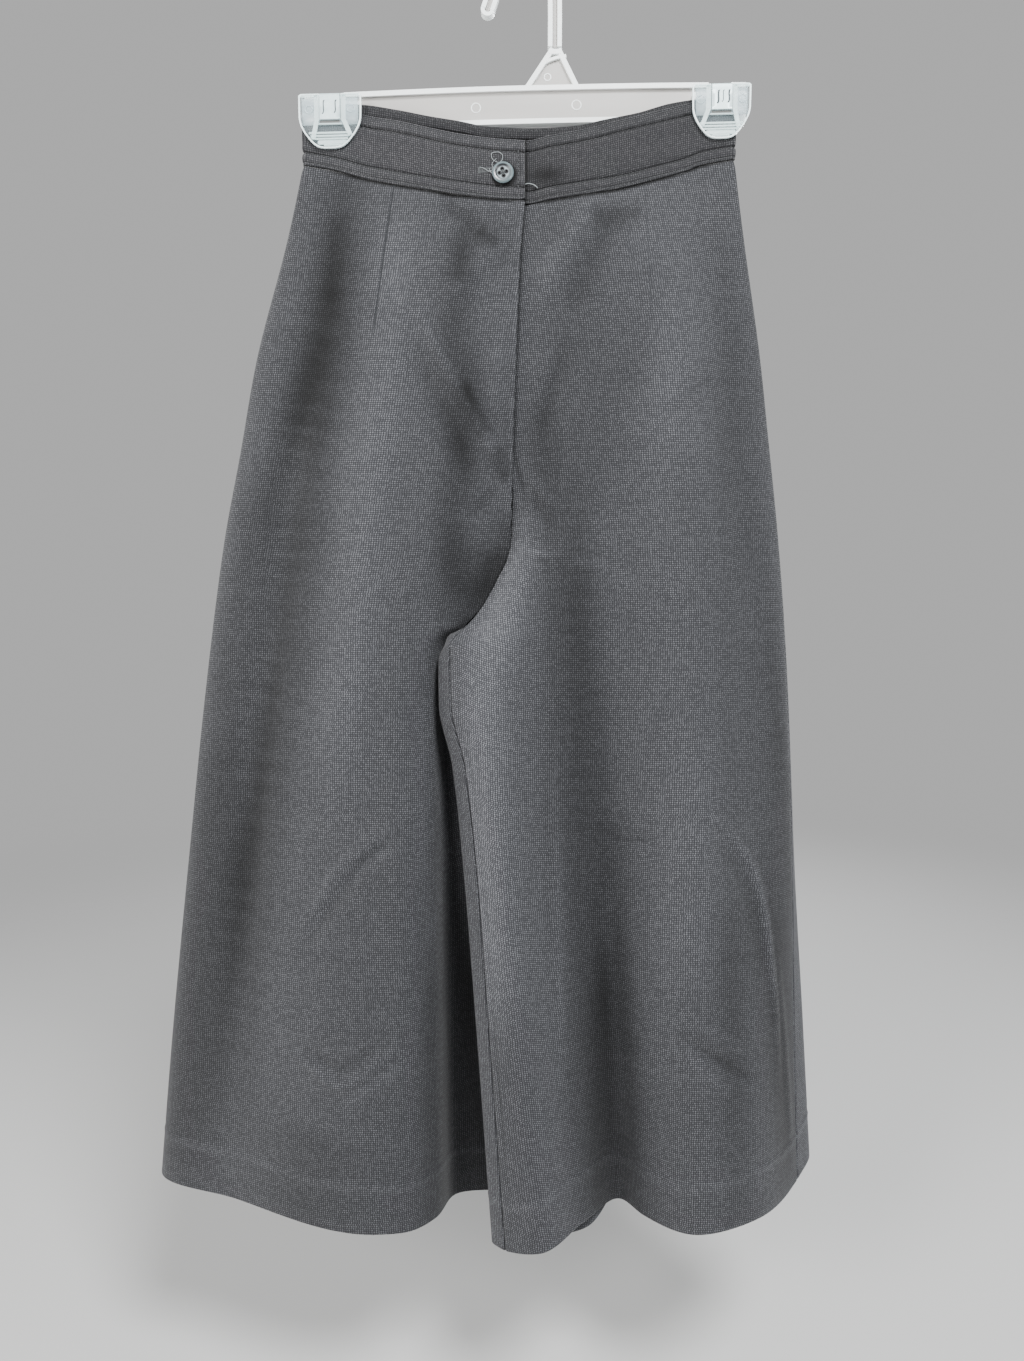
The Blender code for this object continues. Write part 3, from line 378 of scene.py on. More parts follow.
# Strips painted paler or darker on a panel, which deepen the light and shade of its folds: x, z down
# the path, half width (or to the right and to the left), share of light more or less
TONES = {
    "front_right": (
        (((-134, -120), (-140, -244), (-151, -296), (-167, -355), (-174, -423), (-184, -484), (-195, -562),
          (-204, -625), (-216, -688), (-229, -761), (-241, -834), (-262, -1010)), (22.0, 15.0), -0.34),
        (((-132, -120), (-140, -198), (-147, -250), (-156, -310), (-170, -400)), 21.0, -0.34),
        (((-222, -520), (-246, -640), (-262, -740), (-276, -850), (-290, -1020)), 24.0, -0.40),
        (((-112, -640), (-110, -760), (-100, -880), (-96, -1020)), 50.0, -0.08),
        (((-36, -170), (-44, -225), (-54, -291), (-50, -335), (-51, -379), (-57, -424),
          (-58, -520)), 14.0, -0.42),
        (((-16, -290), (-14, -349), (-10, -410)), 18.0, -0.20),
        (((-12, -435), (-13, -450), (-21, -471), (-35, -492), (-48, -506), (-61, -519)),
         (26.0, 7.0), -0.40),
        (((-52, -484), (-71, -530), (-75, -592), (-75, -670), (-72, -800)), 7.0, 0.50),
        (((-65, -671), (-66, -760), (-66, -841), (-67, -923), (-67, -1041)), (2.5, 30.0), -0.55),
        (((-47, -728), (-43, -812), (-37, -897), (-32, -966), (-27, -1063)), 8.0, -0.50),
        (((-45, -420), (-50, -454), (-54, -488)), 15.0, -0.16),
        (((-141, -184), (-146, -224), (-151, -275)), 10.0, -0.18),
        (((-15, -191), (-17, -216), (-17, -245)), 12.0, -0.16),
        (((-24, -367), (-18, -383), (-13, -397)), 7.0, -0.40),
        (((-50, -317), (-42, -334), (-34, -350), (-27, -367)), 6.5, -0.38),
        (((-49, -200), (-50, -224), (-47, -253)), 10.0, -0.25),
        (((-38, -206), (-29, -213), (-19, -221)), 7.0, -0.38),
        (((-96, -191), (-98, -224), (-102, -267)), 14.0, 0.26),
        (((-195, -364), (-213, -439), (-230, -515), (-244, -593)), 13.0, -0.26),
        (((-147, -297), (-169, -356), (-182, -409), (-191, -462), (-200, -523), (-213, -577),
         (-222, -640), (-233, -703)), 10.0, 0.34),
        (((-134, -180), (-131, -260), (-138, -312), (-152, -371), (-158, -439), (-169, -515),
         (-176, -569), (-187, -632), (-195, -687), (-204, -743), (-213, -800), (-219, -865),
         (-224, -999)), 11.0, -0.22),
        (((-37, -275), (-40, -319), (-42, -371), (-36, -431)), 10.0, -0.18),
        (((-94, -660), (-108, -675), (-127, -691), (-145, -711), (-159, -729), (-175, -751)), 4.0, 0.30),
        (((-91, -835), (-105, -849), (-123, -862), (-145, -877)), 3.5, 0.22),
        (((-155, -882), (-172, -940), (-177, -1016)), 44.0, -0.26),
    ),
    "front_left": (
        (((2, -395), (-16, -455), (-26, -500), (-33, -560), (-33, -621), (-31, -690), (-27, -760),
          (-21, -850)), 20.0, 0.74),
        (((30, -330), (40, -420), (49, -531), (55, -608), (62, -687), (69, -760), (74, -833),
          (79, -920), (80, -1040)),
         (24.0, 14.0), -0.40),
        (((60, -700), (70, -790), (77, -880), (80, -1040)), (15.0, 11.0), -0.28),
        (((104, -140), (116, -279), (103, -359), (102, -425), (111, -500), (114, -606), (113, -715),
          (114, -900)),
         20.0, 0.10),
        (((155, -150), (168, -331), (178, -484), (188, -643), (198, -806), (208, -1020)), 19.0, -0.24),
        (((176, -640), (190, -760), (204, -860), (210, -1020)), 22.0, -0.18),
        (((12, -330), (6, -372), (2, -430)), 16.0, -0.16),
        (((20, -150), (34, -250), (46, -340), (44, -440)), 34.0, -0.20),
        (((38, -380), (38, -560), (38, -700), (39, -900), (41, -1040)), 11.0, -0.24),
        (((77, -640), (79, -740), (80, -880)), 12.0, -0.10),
        (((150, -300), (156, -560), (160, -800), (163, -1000)), 13.0, -0.16),
        (((196, -500), (206, -700), (214, -860), (222, -1040)), 14.0, -0.20),
        (((-4, -447), (11, -449), (28, -451)), 1.8, 0.40),
        (((34, -453), (46, -456), (58, -461)), 1.8, 0.26),
        (((66, -464), (74, -469), (82, -476)), 1.8, 0.22),
        (((196, -703), (202, -800), (209, -882), (216, -999)), 11.0, -0.20),
        (((45, -198), (65, -196), (93, -192)), 9.0, -0.35),
        (((98, -209), (94, -260), (87, -297), (73, -341)), 16.0, -0.18),
        (((4, -275), (10, -334), (17, -394), (19, -454), (21, -523), (22, -608), (22, -735)), 11.0, -0.20),
        (((146, -180), (150, -260), (155, -424)), 14.0, -0.12),
        (((159, -687), (159, -800), (164, -882), (171, -1024)), 17.0, -0.20),
        (((185, -409), (193, -492), (201, -577), (210, -656), (219, -735), (232, -882),
         (242, -1016)), 9.0, -0.26),
        (((58, -751), (58, -849), (59, -915), (61, -1024)), 13.0, -0.26),
        (((20, -208), (14, -235), (8, -267)), 10.0, 0.16),
        (((126, -646), (145, -662), (161, -675), (173, -691), (182, -711), (188, -735), (193, -768),
         (197, -808)), 3.6, 0.32),
        (((122, -831), (137, -845), (149, -856), (161, -870)), 3.5, 0.20),
        (((62, -695), (66, -743), (71, -784), (75, -833), (79, -882), (82, -940)), 6.0, 0.25),
    ),
}
RIDGE_LIGHT = 0.09     # how much paler a panel is painted for each millimetre that a fold stands up
TONE_FADE = 0.22       # share of a tone's length over which each end fades
FOLD_FADE = 0.34
# Painted highlight along the ridge of the hem, and painted shade beside the waistband's foot
HEM_HIGHLIGHT = 0.20        # how much paler the ridge of the hem is painted
UNDER_BAND = 0.86      # how much darker the cloth is painted beside the waistband's foot
BACK_FOLDS = (
    (((-52, -190), (-66, -260), (-84, -350), (-98, -450)), 16.0, 2.0),
    (((50, -190), (58, -270), (66, -360), (70, -450)), 16.0, 2.0),
    (((-8, -300), (-30, -360), (-62, -420), (-104, -470)), 10.0, -1.3),
    (((-6, -330), (22, -390), (58, -440), (104, -480)), 10.0, -1.3),
    (((-158, -560), (-176, -660), (-186, -780), (-196, -900)), 20.0, -2.4),
    (((124, -540), (138, -650), (148, -770), (158, -900)), 20.0, -2.4),
)
# Darts: the panel, then x, z of their mouth in the waist seam and of their point
DARTS = {
    "front_right": ((-99, -166), (-114.5, -294)), "front_left": ((90.5, -168), (94.6, -284)),
    "back_right": ((-86, -160), (-92, -272)), "back_left": ((80, -160), (84, -272)),
}


def smooth(at, value, x):
    """Monotone cubic through the points (at, value), read at x; at rises."""
    at, value, x = (np.asarray(a, float) for a in (at, value, x))
    step = np.diff(at)
    rise = np.diff(value) / step
    slope = np.zeros(len(at))
    slope[0], slope[-1] = rise[0], rise[-1]
    same_way = rise[:-1] * rise[1:] > 0
    before, after = 2 * step[1:] + step[:-1], step[1:] + 2 * step[:-1]
    safe = np.where(same_way, rise[:-1], 1), np.where(same_way, rise[1:], 1)
    slope[1:-1] = np.where(same_way, (before + after) / (before / safe[0] + after / safe[1]), 0)
    x = np.clip(x, at[0], at[-1])
    i = np.clip(np.searchsorted(at, x, side="right") - 1, 0, len(at) - 2)
    u = (x - at[i]) / step[i]
    return cubic(u, value[i], value[i + 1], step[i], slope[i], slope[i + 1])


def ease(start, end, x):
    """0 before start, 1 past end, and 3t^2 - 2t^3 between them."""
    t = np.clip((np.asarray(x, float) - start) / (end - start), 0, 1)
    return t * t * (3 - 2 * t)


def bell(x, middle, half_width):
    """exp(-((x - middle) / half_width)^2): 1 in the middle, fading to both sides."""
    return np.exp(-(((x - middle) / half_width) ** 2))


def cubic(u, start, end, length, start_slope, end_slope):
    """Hermite cubic at u from 0 to 1, between two values with slopes per unit of length."""
    return ((2 * u**3 - 3 * u**2 + 1) * start + (u**3 - 2 * u**2 + u) * length * start_slope
            + (3 * u**2 - 2 * u**3) * end + (u**3 - u**2) * length * end_slope)


def rounded(distance, radius):
    """Quarter circle: 0 at the edge, 1 from the radius inwards."""
    return np.sqrt(np.clip(1 - np.clip(1 - distance / radius, 0, 1) ** 2, 0, 1))


def unit(vectors):
    return vectors / np.linalg.norm(vectors, axis=-1, keepdims=True)


def travelled(points):
    """Length along a line of points, from its first."""
    return np.concatenate([[0], np.cumsum(np.linalg.norm(np.diff(points, axis=0), axis=1))])


def curve_through(points, count):
    """Even points on a cubic through the given ones, worked out over the length between them."""
    points = np.array(points, float)
    at = travelled(points)
    wanted = np.linspace(0, at[-1], count)
    return np.stack([smooth(at, points[:, k], wanted) for k in range(points.shape[1])], 1)


# Surfaces of the cloth

def bow(x):
    """Share of the waistband's bow at x: 1 in the middle, 0 inside the clips."""
    return np.clip(1 - (np.asarray(x, float) / BOW_HALF) ** 2, 0, 1) ** 1.3


def band_edges(side, x):
    """Middle of the band's top and foot at x, each as an array of x, y, z."""
    table = {"front_right": BAND_FRONT_RIGHT, "front_left": BAND_FRONT_LEFT}.get(side, BAND_BACK)
    xs, tops, feet = np.array(table, float).T
    x = np.asarray(x, float)
    if side.startswith("front"):
        y_top = PINCH_Y - LAYER - FRONT_BOW_TOP * bow(x)
        y_foot = PINCH_Y - LAYER - FRONT_BOW_BOTTOM * bow(x)
    else:
        y_top = PINCH_Y + LAYER + 0 * x
        y_foot = PINCH_Y + LAYER + BACK_BOW_BOTTOM * bow(x)
    return (np.stack([x, y_top, smooth(xs, tops, x)], -1), np.stack([x, y_foot, smooth(xs, feet, x)], -1))


def fold_line(panel, line, share):
    """Points of one fold line at each share of the way from waist seam to hem."""
    name, waist_x, rows, *below = line
    waist = band_edges(panel, waist_x)[1]
    if name == "side":
        waist[1] = PINCH_Y
    table = np.array([(waist[2], waist_x, waist[1]), *rows], float)
    if not below:
        turn_z = waist[2] + CROTCH_SHARE * (table[-1, 0] - waist[2])
        z = np.interp(share, (0, CROTCH_SHARE, 1), (waist[2], turn_z, table[-1, 0]))
        x, y = (smooth(-table[:, 0], table[:, k], -z) for k in (1, 2))
        return np.stack([x, y, z], -1)
    crotch = (CROTCH[2], CROTCH[0], CROTCH[1])
    table, lower = np.array([*table, crotch]), np.array([crotch, *below[0]])
    z = np.interp(share, (0, CROTCH_SHARE, 1), (waist[2], CROTCH[2], lower[-1, 0]))
    above, under = ([smooth(-rows[:, 0], rows[:, k], -z) for k in (1, 2)] for rows in (table, lower))
    x, y = np.where(z > CROTCH[2], above, under)
    if panel.startswith("front"):
        apart = np.clip((z - FLY_END_Z) / FLY_SOFTEN + 1.3, 0, 1) * FLY_STEP / 2
        y = y + (-apart if panel == "front_right" else apart)
        if panel == "front_left":
            x = x - np.clip((z - FLY_END_Z) / FLY_SOFTEN, 0, 1) * FLY_UNDER
    return np.stack([x, y, z], -1)


def row_shares():
    """Shares of the way to the hem: even rows, the crotch's own, and close ones round the hem's edge."""
    top = np.array(TOP_ROWS) / WAIST_TO_HEM
    above = np.linspace(top[-1], CROTCH_SHARE, round(CROTCH_SHARE * WAIST_TO_HEM / ROW))
    below = np.linspace(CROTCH_SHARE, 1 - ROW / WAIST_TO_HEM, round((1 - CROTCH_SHARE) * WAIST_TO_HEM / ROW))
    hem = 1 - np.array([1.6, 0.9, 0.4, 0.1, 0.0]) / WAIST_TO_HEM
    return np.concatenate([top[:-1], above, below[1:], hem])


def column_places(lengths):
    """For each stretch between fold lines, the shares at which its columns stand: even steps, and
    close columns along both seams."""
    near = np.array(EDGE_COLUMNS)
    places = []
    for k, length in enumerate(lengths):
        steps = max(2, int(np.ceil(length.max() / CELL)))
        first, last = k == 0, k == len(lengths) - 1
        start = near[-1] / length if first else 0 * length
        end = 1 - near[-1] / length if last else 1 + 0 * length
        inner = [start + (end - start) * i / steps for i in range(steps)]
        places.append(([d / length for d in near[:-1]] if first else []) + inner
                      + ([1 - d / length for d in near[::-1]] if last else []))
    return places


def lofted(panel):
    """Middle surface of a panel: each row is a cubic through the fold lines, whose tangents are shared
    with the panel across each seam. Gives the points, and which column each fold line is."""
    share = row_shares()
    lines = [fold_line(panel, line, share) for line in PANELS[panel]]
    over_side = fold_line(SAME_LEG[panel], PANELS[SAME_LEG[panel]][1], share)
    over_front = fold_line(OTHER_HALF[panel], PANELS[OTHER_HALF[panel]][-2], share)
    over_inseam = fold_line(SAME_LEG[panel], PANELS[SAME_LEG[panel]][-2], share)
    beyond = np.where((share < CROTCH_SHARE - 1e-9)[:, None], over_front, over_inseam)
    near = np.clip(1 - np.abs(lines[-1][:, 2:] - CROTCH[2]) / CROTCH_EASE, 0, 1)
    beyond = beyond + near * (2 * lines[-1] - lines[-2] - beyond)
    points = np.stack([over_side, *lines, beyond], 1)
    chord = np.diff(points, axis=1)
    length = np.linalg.norm(chord, axis=2, keepdims=True)
    way = chord / length
    tangent = (way[:, :-1] * length[:, 1:] + way[:, 1:] * length[:, :-1]) / (length[:, 1:] + length[:, :-1])
    own, length = points[:, 1:-1], length[:, 1:-1]
    places = column_places([length[:, k] for k in range(len(lines) - 1)])
    columns = []
    for k, shares in enumerate(places):
        columns += [cubic(u, own[:, k], own[:, k + 1], length[:, k], tangent[:, k], tangent[:, k + 1])
                    for u in shares]
    return np.stack(columns, 1), np.cumsum([0] + [len(shares) for shares in places])


def outward_normals(grid, sign):
    """Unit normals from the cross product of the steps along and down the grid."""
    return unit(np.cross(np.gradient(grid, axis=1), np.gradient(grid, axis=0))) * sign


def fold_height(x, z, folds, fading):
    """Sum of the folds' bells over the distance to each fold's path, fading over a share of its length
    at each end. A fold may have one half width towards the wearer's right and another towards the left."""
    total = np.zeros_like(x)
    for path, width, height in folds:
        line = curve_through(path, 48)
        apart = np.hypot(x[..., None] - line[:, 0], z[..., None] - line[:, 1])
        nearest = apart.argmin(-1)
        along = nearest / (len(line) - 1)
        fade = ease(0, fading, along) * ease(0, fading, 1 - along)
        to_right, to_left = np.broadcast_to(width, 2)
        reach = np.where(x < line[nearest, 0], to_right, to_left)
        total += height * fade * bell(apart.min(-1), 0, reach)
    return total


def panel_surface(panel):
    """Middle surface with its folds, and what the shell and the weave need: normals, distances to the
    edges, and the cloth's own coordinates along and across the grain."""
    grid, fold_columns = lofted(panel)
    seat = band_edges(panel, grid[0, :, 0])[1]
    if panel == "front_left":
        seat[:, 1] += LAP_STEP * np.clip((UNDER_RAMP[1] - seat[:, 0]) / np.ptp(UNDER_RAMP), 0, 1)
    grid[0, 1:, 1] = seat[1:, 1]
    grid[0, 1:, 2] = seat[1:, 2]
    down = np.concatenate([np.zeros((1, grid.shape[1])),
                           np.cumsum(np.linalg.norm(np.diff(grid, axis=0), axis=2), axis=0)])
    across = np.concatenate([np.zeros((grid.shape[0], 1)),
                             np.cumsum(np.linalg.norm(np.diff(grid, axis=1), axis=2), axis=1)], 1)
    to_hem = down[-1] - down
    normal = outward_normals(grid, OUTWARD[panel])
    x, z = grid[..., 0], grid[..., 2]
    lift = fold_height(x, z, FRONT_FOLDS if panel.startswith("front") else BACK_FOLDS, FOLD_FADE)
    tone = fold_height(x, z, TONES.get(panel, ()), TONE_FADE) + RIDGE_LIGHT * lift
    lift += HEM_RIDGE * bell(to_hem, HEM_DEPTH, 2.2) - HEM_DIP * bell(to_hem, HEM_DEPTH + 4, 2.4)
    tone += HEM_HIGHLIGHT * bell(to_hem, HEM_DEPTH - 2.5, 3.5)
    tone = (1 + tone) * (1 - UNDER_BAND * (1 - ease(0.8, 3.4, down))) - 1
    by_fly = ease(FLY_END_Z - 8, FLY_END_Z + 8, z)
    to_centre = across[:, -1:] - across
    if panel == "front_right":
        # Painted highlight on the lap's rolled edge above the fly's end, and painted shade at the edge itself
        tone += by_fly * (0.20 * bell(to_centre, 1.3, 1.0) - 0.3 * bell(to_centre, 0, 0.5))
    if panel == "front_left":
        # Painted shadow of the lap on the underlap beside the fly
        tone -= by_fly * 0.45 * bell(to_centre, FLY_UNDER + 0.8, 1.5)
        # A sunk line beside the inseam, with painted shade in it
        beside_inseam = ease(-520, -560, z) * bell(to_centre, 6.0, 0.9)
        lift -= 0.45 * beside_inseam
        tone -= 0.35 * beside_inseam
    lift -= SEAM_SINK * (1 - ease(0, SEAM_SINK_REACH, down))
    grid = grid + normal * lift[..., None]
    grain = fold_columns[GRAIN_LINE[panel]]
    return {
        "grid": grid,
        "normal": outward_normals(grid, OUTWARD[panel]),
        "across": across - across[:, grain:grain + 1],
        "down": down - (grid[0, :, 2] - GRAIN_START_Z),
        "to_side": across,
        "to_centre": to_centre,
        "to_hem": to_hem,
        "tone": np.maximum(tone, -0.9),
    }


def shell(outer, inner):
    """Closed wall between two grids of points, as vertices and faces."""
    rows, columns = outer.shape[:2]
    index = np.arange(rows * columns).reshape(rows, columns)
    back = index + rows * columns

    def strip(a, b, c, d):
        return np.stack([a.ravel(), b.ravel(), c.ravel(), d.ravel()], 1)

    faces = [
        strip(index[:-1, :-1], index[1:, :-1], index[1:, 1:], index[:-1, 1:]),
        strip(back[:-1, :-1], back[:-1, 1:], back[1:, 1:], back[1:, :-1]),
        strip(index[0, :-1], index[0, 1:], back[0, 1:], back[0, :-1]),
        strip(index[-1, :-1], back[-1, :-1], back[-1, 1:], index[-1, 1:]),
        strip(index[:-1, 0], back[:-1, 0], back[1:, 0], index[1:, 0]),
        strip(index[:-1, -1], index[1:, -1], back[1:, -1], back[:-1, -1]),
    ]
    return np.concatenate([outer.reshape(-1, 3), inner.reshape(-1, 3)]), np.concatenate(faces)


# Pieces

def add_piece(name, points, faces, material, replaces=(), uv=None, values=None, outward=True):
    """Mesh in metres from points in millimetres, which rides on the root body. uv is one pair per
    point, in metres, and values are named numbers per point."""
    mesh = bpy.data.meshes.new(name)
    mesh.from_pydata((np.asarray(points) * MM).tolist(), [], [list(map(int, f)) for f in faces])
    if uv is not None:
        layer = mesh.uv_layers.new(name="weave")
        corners = np.empty(len(mesh.loops), np.int32)
        mesh.loops.foreach_get("vertex_index", corners)
        layer.data.foreach_set("uv", uv[corners].astype(np.float32).ravel())
    for key, numbers in (values or {}).items():
        mesh.attributes.new(key, "FLOAT", "POINT").data.foreach_set("value", numbers.astype(np.float32))
    if outward:
        turn_faces_outward(mesh)
    mesh.materials.append(material)
    mesh.shade_smooth()
    made = bpy.data.objects.new(name, mesh)
    bpy.context.scene.collection.objects.link(made)
    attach(made, "root")
    if replaces:
        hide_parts(*replaces)
    return made


def turn_faces_outward(mesh):
    """Flips the faces of a closed mesh whose signed volume is negative."""
    count = len(mesh.vertices)
    points = np.empty(count * 3, np.float32)
    mesh.vertices.foreach_get("co", points)
    mesh.calc_loop_triangles()
    corners = np.empty(len(mesh.loop_triangles) * 3, np.int32)
    mesh.loop_triangles.foreach_get("vertices", corners)
    a, b, c = (points.reshape(-1, 3)[corners.reshape(-1, 3)[:, k]] for k in range(3))
    if np.einsum("ij,ij->i", a, np.cross(b, c)).sum() < 0:
        mesh.flip_normals()


def bevelled(piece, width):
    """Rounds a piece's sharp edges by that width in millimetres."""
    rounding = piece.modifiers.new("rounding", "BEVEL")
    rounding.width = width * MM
    rounding.segments = 2
    rounding.limit_method = "ANGLE"
    rounding.angle_limit = math.radians(30)
    piece.data.set_sharp_from_angle(angle=math.radians(50))
    return piece


# Materials

class Value:
    """A number that varies over a surface: an output socket, whose sums and products are Math nodes."""

    def __init__(self, finish, socket):
        self.finish = finish
        self.socket = socket

    def math(self, operation, *values):
        return self.finish.node("ShaderNodeMath", {"operation": operation}, dict(enumerate(values)))

    def __add__(self, other):
        return self.math("ADD", self, other)

    def __sub__(self, other):
        return self.math("SUBTRACT", self, other)

    def __rsub__(self, other):
        return self.math("SUBTRACT", other, self)

    def __mul__(self, other):
        return self.math("MULTIPLY", self, other)

    def __truediv__(self, other):
        return self.math("DIVIDE", self, other)

    __radd__ = __add__
    __rmul__ = __mul__

    def abs(self):
        return self.math("ABSOLUTE", self)

    def floor(self):
        return self.math("FLOOR", self)

    def fract(self):
        return self.math("FRACT", self)

    def root(self):
        return self.math("SQRT", self)

    def at_least(self, low):
        return self.math("MAXIMUM", self, low)

    def at_most(self, high):
        return self.math("MINIMUM", self, high)

    def ease(self, low, high):
        """0 at low, 1 at high, smooth between them; high may be under low."""
        return self.finish.node("ShaderNodeMapRange", {"interpolation_type": "SMOOTHSTEP"},
                                {"Value": self, "From Min": low, "From Max": high})


class Finish:
    """One material: a Principled shader and the nodes that feed it."""

    def __init__(self, name, **constants):
        self.material = bpy.data.materials.new(name)
        self.material.use_nodes = True
        self.nodes = self.material.node_tree.nodes
        self.links = self.material.node_tree.links
        self.shader = self.nodes["Principled BSDF"]
        for socket, value in constants.items():
            self.set(socket.replace("_", " ").title().replace("Ior", "IOR"), value)

    def set(self, socket, value):
        self.fill(self.shader.inputs[socket], value)

    def fill(self, socket, value):
        if isinstance(value, Value):
            self.links.new(value.socket, socket)
        elif socket.type == "RGBA":
            socket.default_value = (*value, 1)
        else:
            socket.default_value = value

    def node(self, kind, settings, values=None, output=0):
        made = self.nodes.new(kind)
        for key, value in (settings or {}).items():
            setattr(made, key, value)
        for key, value in (values or {}).items():
            self.fill(made.inputs[key], value)
        return Value(self, made.outputs[output])

    def separate(self, vector):
        return [self.node("ShaderNodeSeparateXYZ", None, {0: vector}, k) for k in range(3)]

    def combine(self, x, y, z=0.0):
        return self.node("ShaderNodeCombineXYZ", None, {0: x, 1: y, 2: z})

    def place(self):
        """Object coordinates, in metres."""
        return self.separate(self.node("ShaderNodeTexCoord", None, None, 3))

    def noise(self, vector, scale, detail):
        return self.node("ShaderNodeTexNoise", None, {"Vector": vector, "Scale": scale, "Detail": detail})

    def white(self, vector):
        return self.node("ShaderNodeTexWhiteNoise", {"noise_dimensions": "3D"}, {"Vector": vector})

    def attribute(self, name):
        return self.node("ShaderNodeAttribute", {"attribute_name": name}, None, 2)

    def mix(self, share, low, high):
        """Colour between low and high."""
        return self.node("ShaderNodeMix", {"data_type": "RGBA"}, {0: share, 6: low, 7: high}, 2)

    def bump(self, height, distance, strength):
        values = {"Height": height, "Distance": distance, "Strength": strength}
        self.set("Normal", self.node("ShaderNodeBump", None, values))


def knit_finish(name, dart=0.0, light=(0.088, 0.090, 0.0975)):
    """Double knit of dark charcoal with rows of small light stitches, each a little lighter or darker
    than its neighbours, and faint bars along the rows. dart is how plainly a dart's line shows, and
    light is the colour of the lightest stitches."""
    finish = Finish(name, roughness=0.88, sheen_weight=0.10, sheen_roughness=0.45, specular_ior_level=0.18)
    weave = finish.node("ShaderNodeUVMap", {"uv_map": "weave"})
    across, down, _ = finish.separate(weave)
    wander = finish.noise(finish.combine(across, down), 55.0, 1.0) - 0.5
    row_at = (down + wander * 0.0004) / COURSE
    row = row_at.floor()
    in_row = row_at.fract() - 0.5
    stitch_at = (across + wander * 0.0005) / WALE + finish.white(finish.combine(row, 3.0)) * 0.35
    stitch = stitch_at.floor()
    in_stitch = stitch_at.fract() - 0.5
    dome = (1 - in_stitch * in_stitch * 5.6 - in_row * in_row * 4.4).at_least(0.0)
    chance = finish.white(finish.combine(stitch, row))
    flecks = finish.white(finish.combine(stitch, row, 7.0)).ease(0.93, 1.0)
    yarn = finish.noise(finish.combine(across * 150.0, row * 0.37), 1.0, 2.0)
    bars = finish.noise(finish.combine(across * 7.0, down * 90.0, 3.0), 1.0, 3.0)
    cloud = finish.noise(finish.combine(across, down, 5.0), 16.0, 2.0)
    share = dome * (0.36 + chance * 0.74 + flecks * 0.35) * (0.72 + yarn * 0.56)
    share = share * (0.86 + bars * 0.16 + cloud * 0.14)
    ground = finish.mix(bars, (0.0115, 0.0118, 0.0137), (0.0175, 0.018, 0.020))
    colour = finish.mix(share, ground, light)
    # The tone attribute scales the colour, which paints light and shade onto the cloth
    colour = finish.node("ShaderNodeVectorMath", {"operation": "SCALE"},
                         {0: colour, "Scale": 1.0 + finish.attribute("tone")})
    height = dome * (0.55 + chance * 0.45)
    if dart:
        seam = finish.attribute("beside_dart").abs().ease(0.0011, 0.0002)
        seam = seam * finish.attribute("past_dart").ease(0.0, -0.02)
        colour = finish.mix(seam * dart, colour, (0.012, 0.013, 0.015))
        height = height - seam * (2.0 * dart)
    finish.set("Base Color", colour)
    finish.bump(height, 0.0003, 0.7)
    return finish.material


def thread_finish(name, dark, light):
    """Twisted sewing thread: fine slanting bands of two close shades."""
    finish = Finish(name, roughness=0.62, sheen_weight=0.2, sheen_roughness=0.4)
    x, y, z = finish.place()
    twist = (x * 1900.0 + z * 1300.0 + y * 700.0).fract()
    ply = (twist - 0.5).abs() * 2.0
    fuzz = finish.noise(finish.combine(x, y, z), 900.0, 2.0)
    finish.set("Base Color", finish.mix(ply * 0.7 + fuzz * 0.3, dark, light))
    finish.bump(ply, 0.00012, 0.6)
    return finish.material


def tape_finish():
    """Woven zip tape: fine crossed ribs."""
    finish = Finish("zip tape weave", roughness=0.8)
    x, _, z = finish.place()
    ribs = ((x * 1400.0).fract() - 0.5).abs() + ((z * 1100.0).fract() - 0.5).abs()
    finish.set("Base Color", finish.mix(ribs, (0.012, 0.012, 0.014), (0.034, 0.034, 0.038)))
    finish.bump(ribs, 0.0002, 0.7)
    return finish.material


def clear_plastic_finish(name, thin, thick, web, body, webbed=False):
    """Milky moulded plastic. Its alpha goes from thin to thick, and its colour from that of the web to
    that of the flanges: by the piece's own web attribute where it is webbed, else along the flow marks."""
    finish = Finish(name, ior=1.46, specular_ior_level=0.55)
    x, y, z = finish.place()
    flow = finish.noise(finish.combine(x * 14.0, y * 60.0, z * 70.0), 1.0, 3.0)
    scuff = finish.noise(finish.combine(x * 260.0, y * 90.0, z * 180.0), 1.0, 4.0).ease(0.60, 0.78)
    solid = 1.0 - finish.attribute("web") if webbed else flow
    finish.set("Alpha", solid * (thick - thin) + thin + flow * 0.06 - 0.03)
    finish.set("Base Color", finish.mix(solid * 0.94 + flow * 0.06, web, body))
    finish.set("Roughness", 0.24 + flow * 0.14 + scuff * 0.25)
    finish.bump(flow + scuff * 0.3, 0.0003, 0.3)
    return finish.material


def steel_finish():
    """Rolled spring steel: fine scratches along the strip and slightly dull patches."""
    finish = Finish("spring steel", metallic=0.25)
    x, y, z = finish.place()
    scratches = finish.noise(finish.combine(x * 2600.0, y * 90.0, z * 90.0), 1.0, 2.0)
    dull = finish.noise(finish.combine(x, y, z), 240.0, 3.0)
    finish.set("Base Color", finish.mix(dull, (0.46, 0.575, 0.59), (0.68, 0.79, 0.80)))
    finish.set("Roughness", 0.34 + scratches * 0.18 + dull * 0.10)
    finish.bump(scratches, 0.00004, 0.5)
    return finish.material


